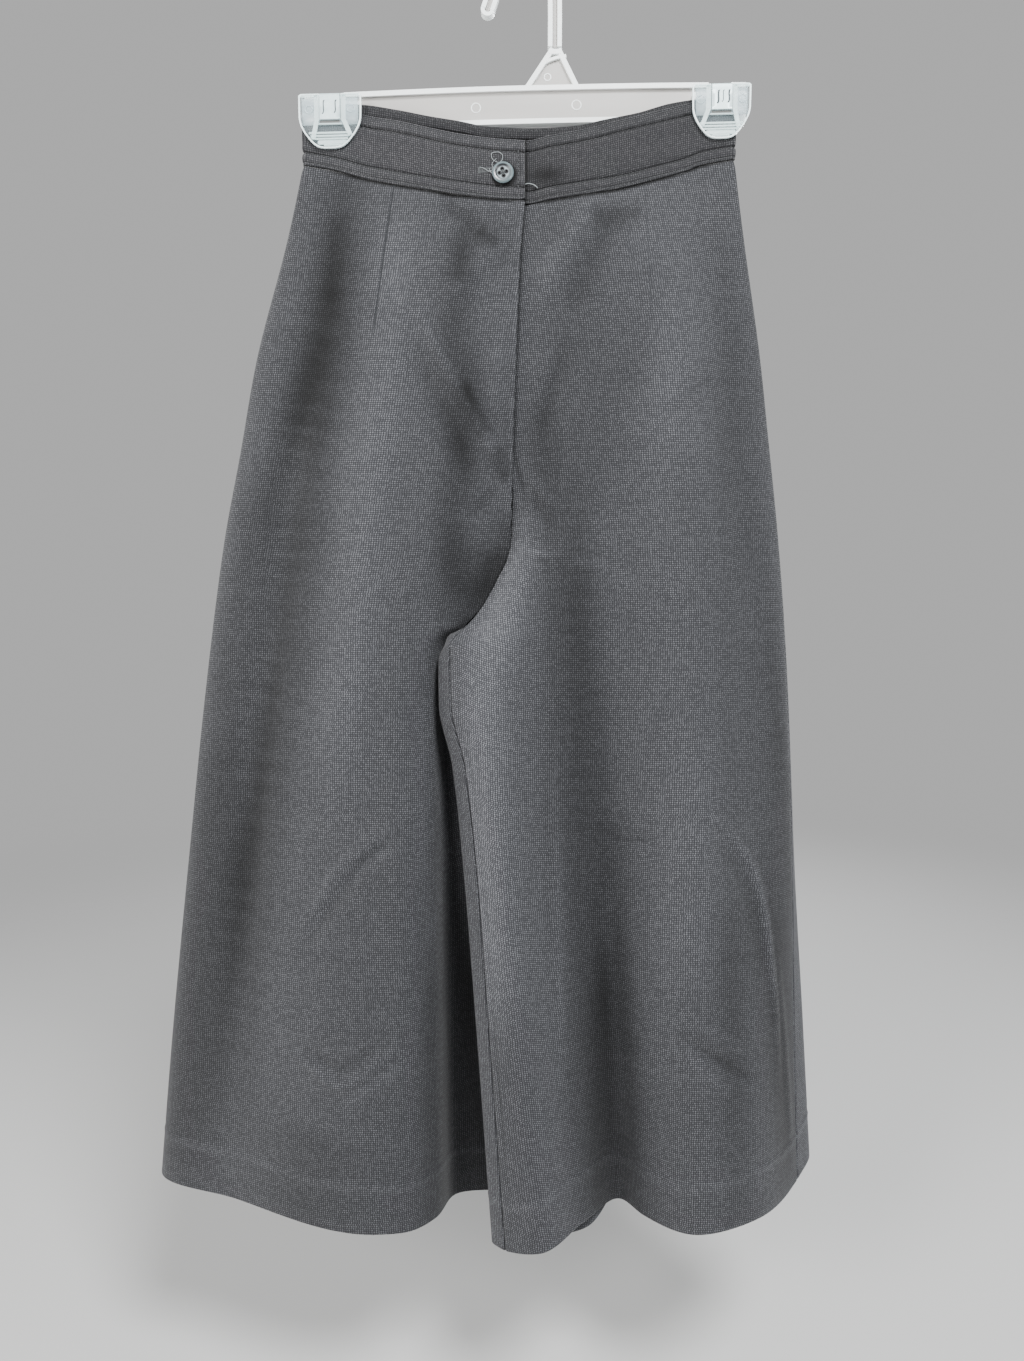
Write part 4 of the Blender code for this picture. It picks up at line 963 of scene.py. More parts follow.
def button_finish():
    """Polyester button: marbled blue-grey, with a paler middle, painted shade in the groove inside its rim
    that is darkest on the upper left as the rim's shadow, and holes painted black for their shade.
    """
    finish = Finish("button resin", coat_roughness=0.2)
    x, y, z = finish.place()
    off_x, off_z = x - BUTTON[0] * MM, z - BUTTON[1] * MM
    out = (off_x * off_x + off_z * off_z).root()
    # Painted shade in the groove inside the rim, strongest on the upper left where the rim's shadow falls
    groove_shade = out.ease(0.0041, 0.0049) * out.ease(0.0067, 0.0060)
    facing = ((off_z - off_x) / (out + 0.0001)).ease(-0.9, 0.8) * 0.45 + 0.55
    rim = out.ease(0.0056, 0.0064)
    cosine, sine = math.cos(math.radians(BUTTON_TURN)), math.sin(math.radians(BUTTON_TURN))
    along = (off_x * cosine + off_z * sine).abs()
    beside = (off_z * cosine - off_x * sine).abs()
    far, near = along.at_least(beside) - BUTTON_HOLE * MM, along.at_most(beside)
    # The holes are painted black for their shade
    hole = (far * far + near * near).root().ease(0.0020, 0.0015)
    marble = finish.noise(finish.combine(x * 160.0, y * 160.0, z * 420.0), 1.0, 4.0)
    body = finish.mix(rim, (0.215, 0.262, 0.272), (0.125, 0.165, 0.175))
    body = finish.mix(marble * 0.60, body, (0.05, 0.068, 0.076))
    body = finish.mix(groove_shade * facing, body, (0.006, 0.008, 0.010))
    finish.set("Base Color", finish.mix(hole, body, (0.003, 0.0035, 0.004)))
    finish.set("Roughness", 0.36 - rim * 0.08 + marble * 0.12 + hole * 0.4)
    finish.set("Coat Weight", 0.25 - hole * 0.25)
    finish.bump(marble, 0.0001, 0.3)
    return finish.material


# Cloth pieces

def dart_places(panel, grid):
    """Signed distance to the line of the panel's dart, and how far a place lies past the dart's point,
    both in metres."""
    (x0, z0), (x1, z1) = DARTS[panel]
    run, fall = x1 - x0, z1 - z0
    length = math.hypot(run, fall)
    x, z = grid[..., 0] - x0, grid[..., 2] - z0
    return (x * fall - z * run) / length * MM, ((x * run + z * fall) / length - length) * MM


def make_panel(panel, material):
    """Shell round a panel's middle surface. Its face turns in along the seams and is rounded at the hem
    and the fly's lap, and its back is thicker over the turned-up hem and the fly's facing."""
    cloth = panel_surface(panel)
    grid, normal = cloth["grid"], cloth["normal"]
    z = grid[..., 2]
    to_seam = np.minimum(cloth["to_side"], cloth["to_centre"])
    lap = ease(FLY_END_Z - 10, FLY_END_Z + 14, z) if panel == "front_right" else np.zeros_like(z)
    at_lap = lap * (cloth["to_centre"] < cloth["to_side"])
    tuck = TUCK * np.clip(1 - to_seam / TUCK_REACH, 0, 1) ** 2 * (1 - at_lap)
    hem_ply = HEM_PLY * (1 - ease(HEM_DEPTH - 1, HEM_DEPTH + 1, cloth["to_hem"])) * ease(3, 9, to_seam)
    facing = FACING_PLY * lap * (1 - ease(FACING - 1, FACING + 1, cloth["to_centre"]))
    face = CLOTH / 2 - tuck
    back = -CLOTH / 2 - hem_ply - facing
    middle = (face + back) / 2
    rounding = rounded(cloth["to_hem"] + 0.02, HEM_ROUND)
    rounding = rounding * (1 - at_lap + at_lap * rounded(cloth["to_centre"] + 0.02, HEM_ROUND))
    outer = grid + normal * (middle + (face - middle) * rounding)[..., None]
    inner = grid + normal * (middle + (back - middle) * rounding)[..., None]
    points, faces = shell(outer, inner)
    uv = np.stack([cloth["across"], cloth["down"]], -1).reshape(-1, 2) * MM
    beside_dart, past_dart = (distance.ravel() for distance in dart_places(panel, grid))
    piece = add_piece(
        panel + "_cloth", points, faces, material, [panel], np.concatenate([uv, uv + 0.5]),
        {"beside_dart": np.concatenate([beside_dart, beside_dart]),
         "past_dart": np.concatenate([past_dart, 0 * past_dart + 1.0]),
         "tone": np.concatenate([cloth["tone"].ravel(), 0 * past_dart])})
    return piece


def band_path():
    """Middle of the waistband's top and foot, from the end of its underlap round to the end of its lap."""
    tops, feet = [], []

    def stretch(side, xs, step=0.0):
        top, foot = band_edges(side, xs)
        top[:, 1] += step
        foot[:, 1] += step
        tops.extend(top)
        feet.extend(foot)

    def turn(side, sign):
        top, foot = (e[0] for e in band_edges(side, [sign * 200.0]))
        edge_x = BAND_BACK[0 if sign < 0 else -1][0]
        for angle in np.radians(np.linspace(-sign * 75, sign * 75, 7)):
            x = edge_x - sign * LAYER + sign * LAYER * math.cos(angle)
            y = PINCH_Y + LAYER * math.sin(angle)
            tops.append(np.array([x, y, top[2]]))
            feet.append(np.array([x, y, foot[2]]))

    left_end, right_end = BAND_BACK[-1][0] - LAYER, BAND_BACK[0][0] + LAYER
    pitch = STITCH_PITCH / 3
    stretch("front_left", np.linspace(-UNDERLAP, UNDER_RAMP[0], 31), LAP_STEP)
    ramp = np.linspace(*UNDER_RAMP, 12)[1:-1]
    for x in ramp:
        stretch("front_left", [x], LAP_STEP * (UNDER_RAMP[1] - x) / (UNDER_RAMP[1] - UNDER_RAMP[0]))
    stretch("front_left", np.arange(UNDER_RAMP[1], left_end, pitch))
    turn("front_left", 1)
    stretch("back", np.arange(left_end, right_end, -pitch))
    turn("front_right", -1)
    stretch("front_right", np.append(np.arange(right_end, -2.6, pitch), (-2.2, -1.4, -0.8, -0.3, 0.0)))
    return np.array(tops), np.array(feet)


def band_surface():
    """Tops, downward unit vectors, widths and outward normals along the waistband."""
    tops, feet = band_path()
    span = feet - tops
    width = np.linalg.norm(span, axis=1)
    down = span / width[:, None]
    outward = unit(np.cross(np.gradient((tops + feet) / 2, axis=0), -span))
    return tops, down, width, outward


def band_relief(from_edge, along):
    """Height of the band's face at a distance from its nearer edge: rounded at the edge, a narrow
    valley under each row of stitching, deepest at the middle of each stitch, and a low roll between
    the rows."""
    pull = 0.66 + 0.34 * np.cos(2 * np.pi * along / STITCH_PITCH)
    valleys = pull * sum(depth * bell(from_edge, place, wide) for place, depth, wide in STITCH_VALLEYS)
    between_rows = np.clip((from_edge - STITCH_EDGE) / (STITCH_FIELD - STITCH_EDGE), 0, 1)
    edge_roll = EDGE_ROLL * np.sin(np.pi * between_rows) ** 0.8
    field_roll = FIELD_ROLL * ease(STITCH_FIELD, STITCH_FIELD + 4.5, from_edge)
    ripple = 0.10 * np.sin(along / 4.1 + from_edge * 0.9) * np.sin(along / 17.0 + from_edge * 0.2)
    return edge_roll + field_roll + ripple - valleys


def band_tone(from_edge, along, from_end, middle):
    """How much paler or darker the band is painted: painted shade in the valleys of the stitching, round the
    button and behind the lap's end, and painted light on the rolls between the rows and at the edges."""
    pull = 0.55 + 0.45 * np.cos(2 * np.pi * along / STITCH_PITCH)
    # The whole band is painted a tenth darker, with painted light on its rolls and edges and painted shade at
    # the very edge
    tone = -0.10 + sum(share * bell(from_edge, place, wide) for place, wide, share in BAND_LIGHT_AND_SHADE)
    # Painted shade in the valleys of the stitching
    tone -= pull * (0.86 * bell(from_edge, STITCH_FIELD, 0.85) + 0.30 * bell(from_edge, STITCH_EDGE, 0.6))
    # Painted highlight on the rolled end of the lap, and painted shade at its very end
    tone += 0.22 * bell(from_end, 1.6, 1.0) - 0.5 * bell(from_end, 0, 0.5)
    # Painted shade over the first 180 to 200 mm of the band, across the wearer's left front
    tone -= 0.20 * (1 - ease(180, 200, along))
    x, y, z = (middle[..., k] for k in range(3))
    # Painted shadow of the button on the lap round it, offset a little below it
    on_lap = (along > along[-1] / 2) * (y < PINCH_Y)
    tone -= 0.75 * on_lap * (1 - ease(8.4, 10.6, np.hypot(x - BUTTON[0] - 1.2, z - BUTTON[1] + 1.2)))
    shade_x, shade_z, shade_wide, shade_high = LAP_SHADE
    behind_lap = (along < 80) * (x > -1)
    shade = bell(x, 0, 2.2) + bell(x, shade_x, shade_wide) * bell(z, shade_z, shade_high)
    return tone - 0.55 * behind_lap * shade


def make_waistband(material):
    """Shell whose cross-section is the relief between the top edge and the foot, carried along the band."""
    tops, down, width, outward = band_surface()
    along = travelled(tops)[:, None]
    from_end = along[-1] - along
    half = np.concatenate([BAND_LINES_EDGE, STITCH_FIELD + np.array(BAND_LINES_ROW), BAND_LINES_FIELD])
    from_top = np.concatenate([half + 0 * along, width[:, None] - half[::-1]], 1)
    from_foot = width[:, None] - from_top
    from_edge = np.minimum(from_top, from_foot)
    beside_lap_row = bell(from_end, LAP_ROW, 0.8) * ease(7.5, 8.5, from_edge)
    relief = band_relief(from_edge, along) - 0.5 * beside_lap_row
    rounding = rounded(from_edge + 0.01, 1.3) * rounded(np.maximum(from_end, 0) + 0.01, 1.5)
    corner = 2.4 * (1 - rounded(from_end, 5.0)) * ease(8, 0, from_foot)
    middle = tops[:, None] + down[:, None] * (from_top - corner)[..., None]
    front = outward[:, None] * ((BAND_FACE + relief) * rounding)[..., None]
    back = outward[:, None] * ((BAND_HALF + relief * 0.8) * rounding)[..., None]
    points, faces = shell(middle + front, middle - back)
    uv = np.stack([along + 0 * from_top, from_top], -1).reshape(-1, 2) * MM
    # Painted shade along the valley beside the lap's row of stitching
    tone = band_tone(from_edge, along, from_end, middle) - 0.35 * beside_lap_row
    # The band's inner face is painted darker still, as shade
    both_sides = np.concatenate([tone.ravel(), tone.ravel() - 0.30])
    band = add_piece("waistband_cloth", points, faces, material, ["waistband"],
                     np.concatenate([uv, uv + 0.5]), {"tone": np.maximum(both_sides, -0.85)})
    rows = [stitch_row(tops, down, width, outward, from_edge, side, foot)
            for foot in (False, True) for from_edge in (STITCH_EDGE, STITCH_FIELD) for side in (1, -1)]
    rows.append(lap_row(tops, down, width, outward))
    return band, rows


def lap_row(tops, down, width, outward):
    """Row of stitches down the lap, beside its end."""
    at = travelled(tops)
    place = at[-1] - LAP_ROW
    top, way, out = (np.array([np.interp(place, at, of[:, k]) for k in range(3)])
                     for of in (tops, down, outward))
    drops = np.arange(STITCH_FIELD, np.interp(place, at, width) - STITCH_EDGE, STITCH_PITCH)
    middles = top + way * drops[:, None] + out * (BAND_FACE + 0.12)
    return middles, np.tile(way, (len(drops), 1)), np.tile(out, (len(drops), 1))


def stitch_row(tops, down, width, outward, from_edge, side, foot):
    """Middles and unit directions of the stitches of one row on the band's face or back."""
    drop = (width - from_edge if foot else np.full_like(width, from_edge))[:, None]
    depth = (BAND_FACE if side > 0 else BAND_HALF) - (0.30 if from_edge == STITCH_EDGE else 0.95)
    line = tops + down * drop + outward * side * depth
    at = travelled(tops)
    middles = np.arange(STITCH_PITCH, at[-1] - STITCH_EDGE, STITCH_PITCH)
    ends = [np.stack([np.interp(middles + d, at, line[:, k]) for k in range(3)], 1)
            for d in (-STITCH_LENGTH / 2, STITCH_LENGTH / 2)]
    lift = np.stack([np.interp(middles, at, outward[:, k]) for k in range(3)], 1) * side
    return (ends[0] + ends[1]) / 2, unit(ends[1] - ends[0]), lift


def ring_faces(levels, count):
    """Quads between rings of count points each, and a face across each end."""
    index = np.arange(levels * count).reshape(levels, count)
    after = np.roll(index, -1, 1)
    quads = np.stack([index[:-1], after[:-1], after[1:], index[1:]], -1).reshape(-1, 4)
    return [tuple(q) for q in quads] + [tuple(index[0][::-1]), tuple(index[-1])]


def wrapped_faces(rows, columns):
    """Quads of a grid of points that closes on itself both ways."""
    index = np.arange(rows * columns).reshape(rows, columns)
    right, below = np.roll(index, -1, 0), np.roll(index, -1, 1)
    return [tuple(f) for f in np.stack([index, right, np.roll(right, -1, 1), below], -1).reshape(-1, 4)]


def capsules(middles, directions, lifts, length, radius):
    """Points and faces of short rounded rods: one ring profile turned onto each direction."""
    sides = 6
    turn = np.linspace(0, 2 * np.pi, sides, endpoint=False)
    profile = np.array([(-0.5, 0.35), (-0.40, 1.0), (0.0, 1.12), (0.40, 1.0), (0.5, 0.35)])
    side_ways = unit(np.cross(directions, lifts))
    up = np.cross(side_ways, directions)
    ring = (np.cos(turn)[:, None, None] * side_ways + np.sin(turn)[:, None, None] * up) * radius
    points = np.stack([middles + directions * length * place + ring * size for place, size in profile])
    points = points.transpose(2, 0, 1, 3).reshape(-1, 3)
    each = ring_faces(len(profile), sides)
    per = len(profile) * sides
    return points, [tuple(i + per * n for i in face) for n in range(len(middles)) for face in each]


def make_stitches(rows, material):
    middles, directions, lifts = (np.concatenate([row[k] for row in rows]) for k in range(3))
    points, faces = capsules(middles, directions, lifts, STITCH_LENGTH, STITCH_R)
    return add_piece("band_stitching", points, faces, material)


def tube(path, radius, sides, count):
    """Round rod along a smooth path: circles turned onto its direction, closed by shrunk end rings."""
    line = curve_through(path, count)
    ahead = unit(np.gradient(line, axis=0))
    side_ways = unit(np.cross(ahead, (0.13, 1.0, 0.21)))
    up = np.cross(side_ways, ahead)
    turn = np.linspace(0, 2 * np.pi, sides, endpoint=False)
    at = travelled(line)
    size = radius * np.sqrt(np.clip(np.minimum(at, at[-1] - at) / radius, 0.04, 1))
    rings = (line[:, None] + (np.cos(turn)[None, :, None] * side_ways[:, None]
                              + np.sin(turn)[None, :, None] * up[:, None]) * size[:, None, None])
    return rings.reshape(-1, 3), ring_faces(count, sides)


def joined(parts):
    """Several meshes' points and faces as one."""
    points, faces, start = [], [], 0
    for some_points, some_faces in parts:
        points.append(np.asarray(some_points))
        faces += [tuple(i + start for i in face) for face in some_faces]
        start += len(some_points)
    return np.concatenate(points), faces


# Fastenings

def on_band(x, z, proud):
    """Point in front of the right front of the waistband at that x, z."""
    top, foot = (edge[0] for edge in band_edges("front_right", [x]))
    share = (z - foot[2]) / (top[2] - foot[2])
    return np.array([x, foot[1] + share * (top[1] - foot[1]) - BAND_FACE - proud, z])


def make_buttonhole(dark_thread, pale_thread):
    """Two rows of close satin stitches along a slit, and a bar tack across its outer end."""
    start, end, z = BUTTONHOLE
    places = np.arange(start, end, SATIN_PITCH)
    middles = [on_band(x, z + side * SATIN_OFF, 0.30) for x in places for side in (1, -1)]
    lean = np.array([(0.10, 0.0, 1.0), (-0.08, 0.0, 1.0)] * len(places))
    tack = [on_band(start - 0.5, z + off, 0.42) for off in np.arange(-2.0, 2.1, 0.55)]
    middles = np.array(middles + tack)
    directions = unit(np.concatenate([lean, np.tile((1.0, 0.0, 0.05), (len(tack), 1))]))
    lifts = np.tile((0.0, -1.0, 0.0), (len(middles), 1))
    points, faces = capsules(middles, directions, lifts, SATIN_LENGTH, SATIN_R)
    add_piece("buttonhole_stitching", points, faces, pale_thread)
    slit = np.array([on_band(x, z + 0.25 * np.sin(x), 0.22) for x in np.linspace(start + 0.6, end, 9)])
    points, faces = tube(slit, 0.42, 6, 30)
    add_piece("buttonhole_slit", points, faces, dark_thread)


def make_loose_threads(pale_thread):
    """Ends of thread that curl out beside the button, and one at the end of the lap."""
    curls = (
        ((-19.4, -157.4), (-20.7, -156.4), (-23.4, -155.2), (-25.2, -152.6), (-25.4, -150.2), (-23.6, -149.0),
         (-20.7, -148.8), (-18.0, -149.8), (-16.9, -152.0), (-17.4, -154.6), (-19.6, -156.8)),
        ((-21.8, -153.6), (-23.6, -155.4), (-24.9, -157.9), (-24.2, -160.7), (-25.4, -162.8), (-27.4, -163.0),
         (-29.3, -161.8), (-31.5, -160.5), (-34.6, -159.6)),
        ((-27.0, -160.6), (-26.0, -163.4), (-24.6, -164.6)),
    )
    parts = []
    for curl in curls:
        lift = 0.9 + 0.5 * np.sin(np.linspace(0.2, 2.9, len(curl)))
        parts.append(tube([on_band(x, z, up) for (x, z), up in zip(curl, lift)], 0.19, 6, 60))
    points, faces = joined(parts)
    add_piece("loose_threads", points, faces, pale_thread)
    lap_y = band_edges("front_left", [4.0])[1][0, 1] + LAP_STEP - BAND_HALF - 0.9
    stray = [(-0.6, lap_y + 0.6, -171.8), (2.2, lap_y - 0.4, -171.4), (5.0, lap_y - 0.6, -171.9),
             (8.0, lap_y - 0.3, -173.2), (9.6, lap_y + 0.5, -174.6)]
    points, faces = tube(stray, 0.30, 6, 36)
    add_piece("stray_thread", points, faces, pale_thread)


def make_button_thread(thread):
    """Thread from hole to hole over the sunk middle of the button."""
    reach = BUTTON_HOLE
    turns = [math.radians(BUTTON_TURN + 90 * k) for k in range(4)]
    holes = [(BUTTON[0] + reach * math.cos(turn), BUTTON[1] + reach * math.sin(turn)) for turn in turns]
    parts = []
    for first, second in ((0, 2), (1, 3)):
        for off in (-0.3, 0.3):
            (x0, z0), (x1, z1) = holes[first], holes[second]
            side = np.array([-(z1 - z0), 0, x1 - x0]) / (2 * reach) * off
            depth = BUTTON_FACE_Y + np.array([2.4, 1.15, 0.85, 1.15, 2.4]) + 0.25 * (first == 0)
            path = [(x0 + (x1 - x0) * t, y, z0 + (z1 - z0) * t)
                    for t, y in zip((0, 0.16, 0.5, 0.84, 1), depth)]
            parts.append(tube(np.array(path) + side, 0.22, 6, 24))
    points, faces = joined(parts)
    add_piece("button_thread", points, faces, thread)


def make_zip(tape_material, teeth_material):
    """Tape behind the fly's lap as a thin wall, and a row of small teeth down its middle."""
    line = fold_line("front_right", FRONT_RIGHT[-1], np.linspace(0.02, 0.30, 120))
    line = line[line[:, 2] > FLY_END_Z - 6]
    across = np.array(TAPE_LINES)[None, :, None] * np.array([ZIP_TAPE, 0, 0])
    middle = line[:, None] + across + [0, ZIP_BACK, 0]
    points, faces = shell(middle - [0, ZIP_THICK / 2, 0], middle + [0, ZIP_THICK / 2, 0])
    add_piece("zip_tape", points, faces, tape_material, ["zip"])
    at = travelled(line)
    places = np.arange(2, at[-1] - 2, TOOTH_PITCH)
    teeth = np.stack([np.interp(places, at, line[:, k]) for k in range(3)], 1)
    teeth += np.array([-0.1 * ZIP_TAPE, ZIP_BACK + ZIP_THICK / 2 + 0.35, 0])
    teeth[:, 0] += np.where(np.arange(len(teeth)) % 2, 0.8, -0.8)
    ways, lifts = (np.tile(way, (len(teeth), 1)) for way in ((1.0, 0, 0), (0, 1.0, 0)))
    points, faces = capsules(teeth, ways, lifts, TOOTH_LENGTH, TOOTH_R)
    add_piece("zip_teeth", points, faces, teeth_material)


# Hanger

def plate(outline, y_from, y_to):
    """Outline of x, z points raised along Y, as points and faces."""
    return stacked_outlines([(outline, y_from), (outline, y_to)])


def stacked_outlines(outlines_and_depths):
    """Closed solid through a stack of outlines of the same number of x, z points, each at its own y."""
    rings = np.stack([np.insert(np.array(outline, float), 1, y, axis=1)
                      for outline, y in outlines_and_depths])
    return rings.reshape(-1, 3), ring_faces(*rings.shape[:2])


def i_section(half, rim, deep, web):
    return [(-half, -deep), (-rim, -deep), (-rim, -web), (rim, -web), (rim, -deep), (half, -deep),
            (half, deep), (rim, deep), (rim, web), (-rim, web), (-rim, deep), (-half, deep)]


def web_share(parts):
    """1 at the points of webs and 0 at the rest, for parts given as points, faces and the share at each
    point, or one share for all of them."""
    return np.concatenate([np.resize(share, len(points)) for points, _, share in parts]).astype(float)


def carried(section, path):
    """Section of (out, y) points carried along a path in the x, z plane, turned square to it."""
    path, section = np.array(path, float), np.array(section, float)
    along = unit(np.gradient(path, axis=0))
    out = np.stack([along[:, 1], -along[:, 0]], 1)
    spread, depth = section.T
    rings = np.stack([path[:, :1] + out[:, :1] * spread, depth + 0 * path[:, :1],
                      path[:, 1:] + out[:, 1:] * spread], -1)
    return rings.reshape(-1, 3), ring_faces(*rings.shape[:2])


def make_hook(material):
    """I section carried up the stem and over the arc; its end is a half disc with a raised rim."""
    radius, centre_z = HOOK_INNER_R + HOOK_WIDTH / 2, -HOOK_INNER_R
    stem = [(STEM_FOOT[0] - 0.1 + 0.05 * t, STEM_FOOT[1] + t * (STEM_TOP_Z - STEM_FOOT[1]))
            for t in np.linspace(0, 1, 5)]
    arc = [(radius * math.cos(a), centre_z + radius * math.sin(a))
           for a in np.radians(np.linspace(-6, 172, 64))]
    tail = curve_through([arc[-1], (-24.6, -24.5), HOOK_TAIL, HOOK_END], 12)[1:]
    section = i_section(HOOK_WIDTH / 2, HOOK_WIDTH / 2 - HOOK_FLANGE, HOOK_DEPTH / 2, WEB / 2)
    ahead = unit(np.array(HOOK_END) - HOOK_TAIL)
    lean = math.atan2(ahead[1], ahead[0])
    turns = lean + np.radians(np.linspace(-90, 90, 25))
    outer, inner = (np.array(HOOK_END) + reach * np.stack([np.cos(turns), np.sin(turns)], 1)
                    for reach in (HOOK_WIDTH / 2, HOOK_WIDTH / 2 - HOOK_FLANGE * 0.86))
    parts = [(*carried(section, [*stem, *arc, *tail]), I_WEB),
             (*plate([*outer, *inner[::-1]], -HOOK_DEPTH / 2, HOOK_DEPTH / 2), 0),
             (*plate(outer * 0.999 + np.array(HOOK_END) * 0.001, -WEB / 2, WEB / 2), 1)]
    points, faces = joined([part[:2] for part in parts])
    bevelled(add_piece("hook", points, faces, material, ["hanger_hook"],
                       values={"web": web_share(parts)}, outward=False), 0.5)


def bar_top(x):
    xs, zs = zip(*BAR_TOP)
    return smooth(xs, zs, x)


def make_bar(material):
    """I section carried along the sagging bar, cut down under each spring."""
    notches = [middle + side * (NOTCH_HALF + step) for middle, _, _ in JAWS.values()
               for side in (-1, 1) for step in (-0.02, 0.02)]
    xs = np.sort(np.concatenate([np.linspace(*BAR_END, 90), notches]))
    middle_z = bar_top(xs) - BAR_HEIGHT / 2
    section = i_section(BAR_HEIGHT / 2, BAR_HEIGHT / 2 - FLANGE, FLANGE_DEPTH / 2, WEB / 2)
    points, faces = carried(section, np.stack([xs, middle_z], 1))
    for middle, top, _ in JAWS.values():
        inside = np.abs(points[:, 0] - middle) < NOTCH_HALF
        points[inside, 2] = np.minimum(points[inside, 2], top - BAR_NOTCH)
    parts = [(points, faces, I_WEB)]
    (ax, az), (bx, bz), (cx, cz), (dx, dz) = GUSSET
    web_corners = [(ax, az - 2), (bx, bz), (cx, cz), (dx, dz - 2)]
    parts.append((*plate(web_corners, -WEB / 2 + 0.05, WEB / 2 - 0.05), 1))
    rails = (((ax + 1.5, az - 1), (bx + 1.8, bz - 1.0), HOOK_DEPTH - 0.3),
             ((cx - 1.4, cz - 1.2), (dx - 1.8, dz - 1), HOOK_DEPTH - 0.5),
             ((bx + 1, bz - 1.9), (cx - 1, cz - 1.9), HOOK_DEPTH))
    for start, end, depth in rails:
        start, end = np.array(start), np.array(end)
        reach = unit(end - start) * FLANGE * 0.4
        rail = [(-FLANGE / 2, -depth / 2), (FLANGE / 2, -depth / 2),
                (FLANGE / 2, depth / 2), (-FLANGE / 2, depth / 2)]
        parts.append((*carried(rail, np.linspace(start - reach, end + reach, 5)), 0))
    rib = [(-1.1, -HOOK_DEPTH / 2 + 0.4), (1.1, -HOOK_DEPTH / 2 + 0.4), (1.1, 0.5), (-1.1, 0.5)]
    parts.append((*carried(rib, curve_through(GUSSET_RIB, 14)), 0))
    for side in JAWS:
        parts.append((*plate(jaw_outline(side, BACK_JAW_SHRINK, False), *BACK_JAW), 0))
    points, faces = joined([part[:2] for part in parts])
    bevelled(add_piece("hanger_bar", points, faces, material, ["hanger_frame"],
                       values={"web": web_share(parts)}, outward=False), 0.5)
    make_pin_marks(material)


def ring(centre, radius, thick, y):
    """Small round ring standing on a wall at y: a circle carried round a circle."""
    around, section = 40, 6
    turn = np.linspace(0, 2 * np.pi, around, endpoint=False)[:, None]
    wind = np.linspace(0, 2 * np.pi, section, endpoint=False)[None]
    reach = radius + thick * np.cos(wind)
    points = np.stack([centre[0] + reach * np.cos(turn), y - thick * np.sin(wind) + 0 * turn,
                       centre[1] + reach * np.sin(turn)], -1)
    return points.reshape(-1, 3), wrapped_faces(around, section)


def make_pin_marks(material):
    points, faces = joined([ring((x, z), radius, 0.45, -WEB / 2) for x, z, radius in PIN_MARKS])
    no_web = {"web": np.zeros(len(points))}
    add_piece("moulding_marks", points, faces, material, values=no_web)


def jaw_outline(side, scale=1.0, notched=True):
    """Straight sides that round into a narrower foot, about the middle of the jaw."""
    middle, top, width = JAWS[side]
    down, half = np.array(JAW_SHAPE).T
    fine = np.concatenate([down[:2], np.linspace(0.12, 0.45, 4), np.linspace(0.5, 0.965, 16), [0.985, 1.0]])
    shape = smooth(down, -half, fine) * -1
    right = [(width / 2 * h, -JAW_HEIGHT * d) for d, h in zip(fine, shape)]
    whole = right + [(-x, z) for x, z in reversed(right)]
    if notched:
        whole += [(-NOTCH_HALF, 0.0), (-NOTCH_HALF, -JAW_NOTCH), (NOTCH_HALF, -JAW_NOTCH), (NOTCH_HALF, 0.0)]
    centre = -JAW_HEIGHT / 2
    whole = [(x * scale, centre + (z - centre) * scale) for x, z in whole]
    return [(middle + x, top + z + JAW_TILT * x) for x, z in whole]


def jaw_point(side, x, z):
    middle, top, _ = JAWS[side]
    return np.array([middle + x, top + z + JAW_TILT * x])


def jaw_bar(side, start, end, wide, y_from, y_to):
    """Straight rib on a jaw from one x, z to another, measured from the middle of the jaw's top."""
    start, end = jaw_point(side, *start), jaw_point(side, *end)
    across = unit(end - start)[::-1] * np.array([-1, 1]) * wide / 2
    return plate([start - across, start + across, end + across, end - across], y_from, y_to)


def framed(outer, inner, y_from, y_to):
    """Flat ring between two outlines of the same number of points, raised along Y."""
    rings = np.stack([np.insert(np.array(outline, float), 1, y, axis=1)
                      for outline, y in ((outer, y_from), (outer, y_to), (inner, y_to), (inner, y_from))])
    return rings.reshape(-1, 3), wrapped_faces(*rings.shape[:2])


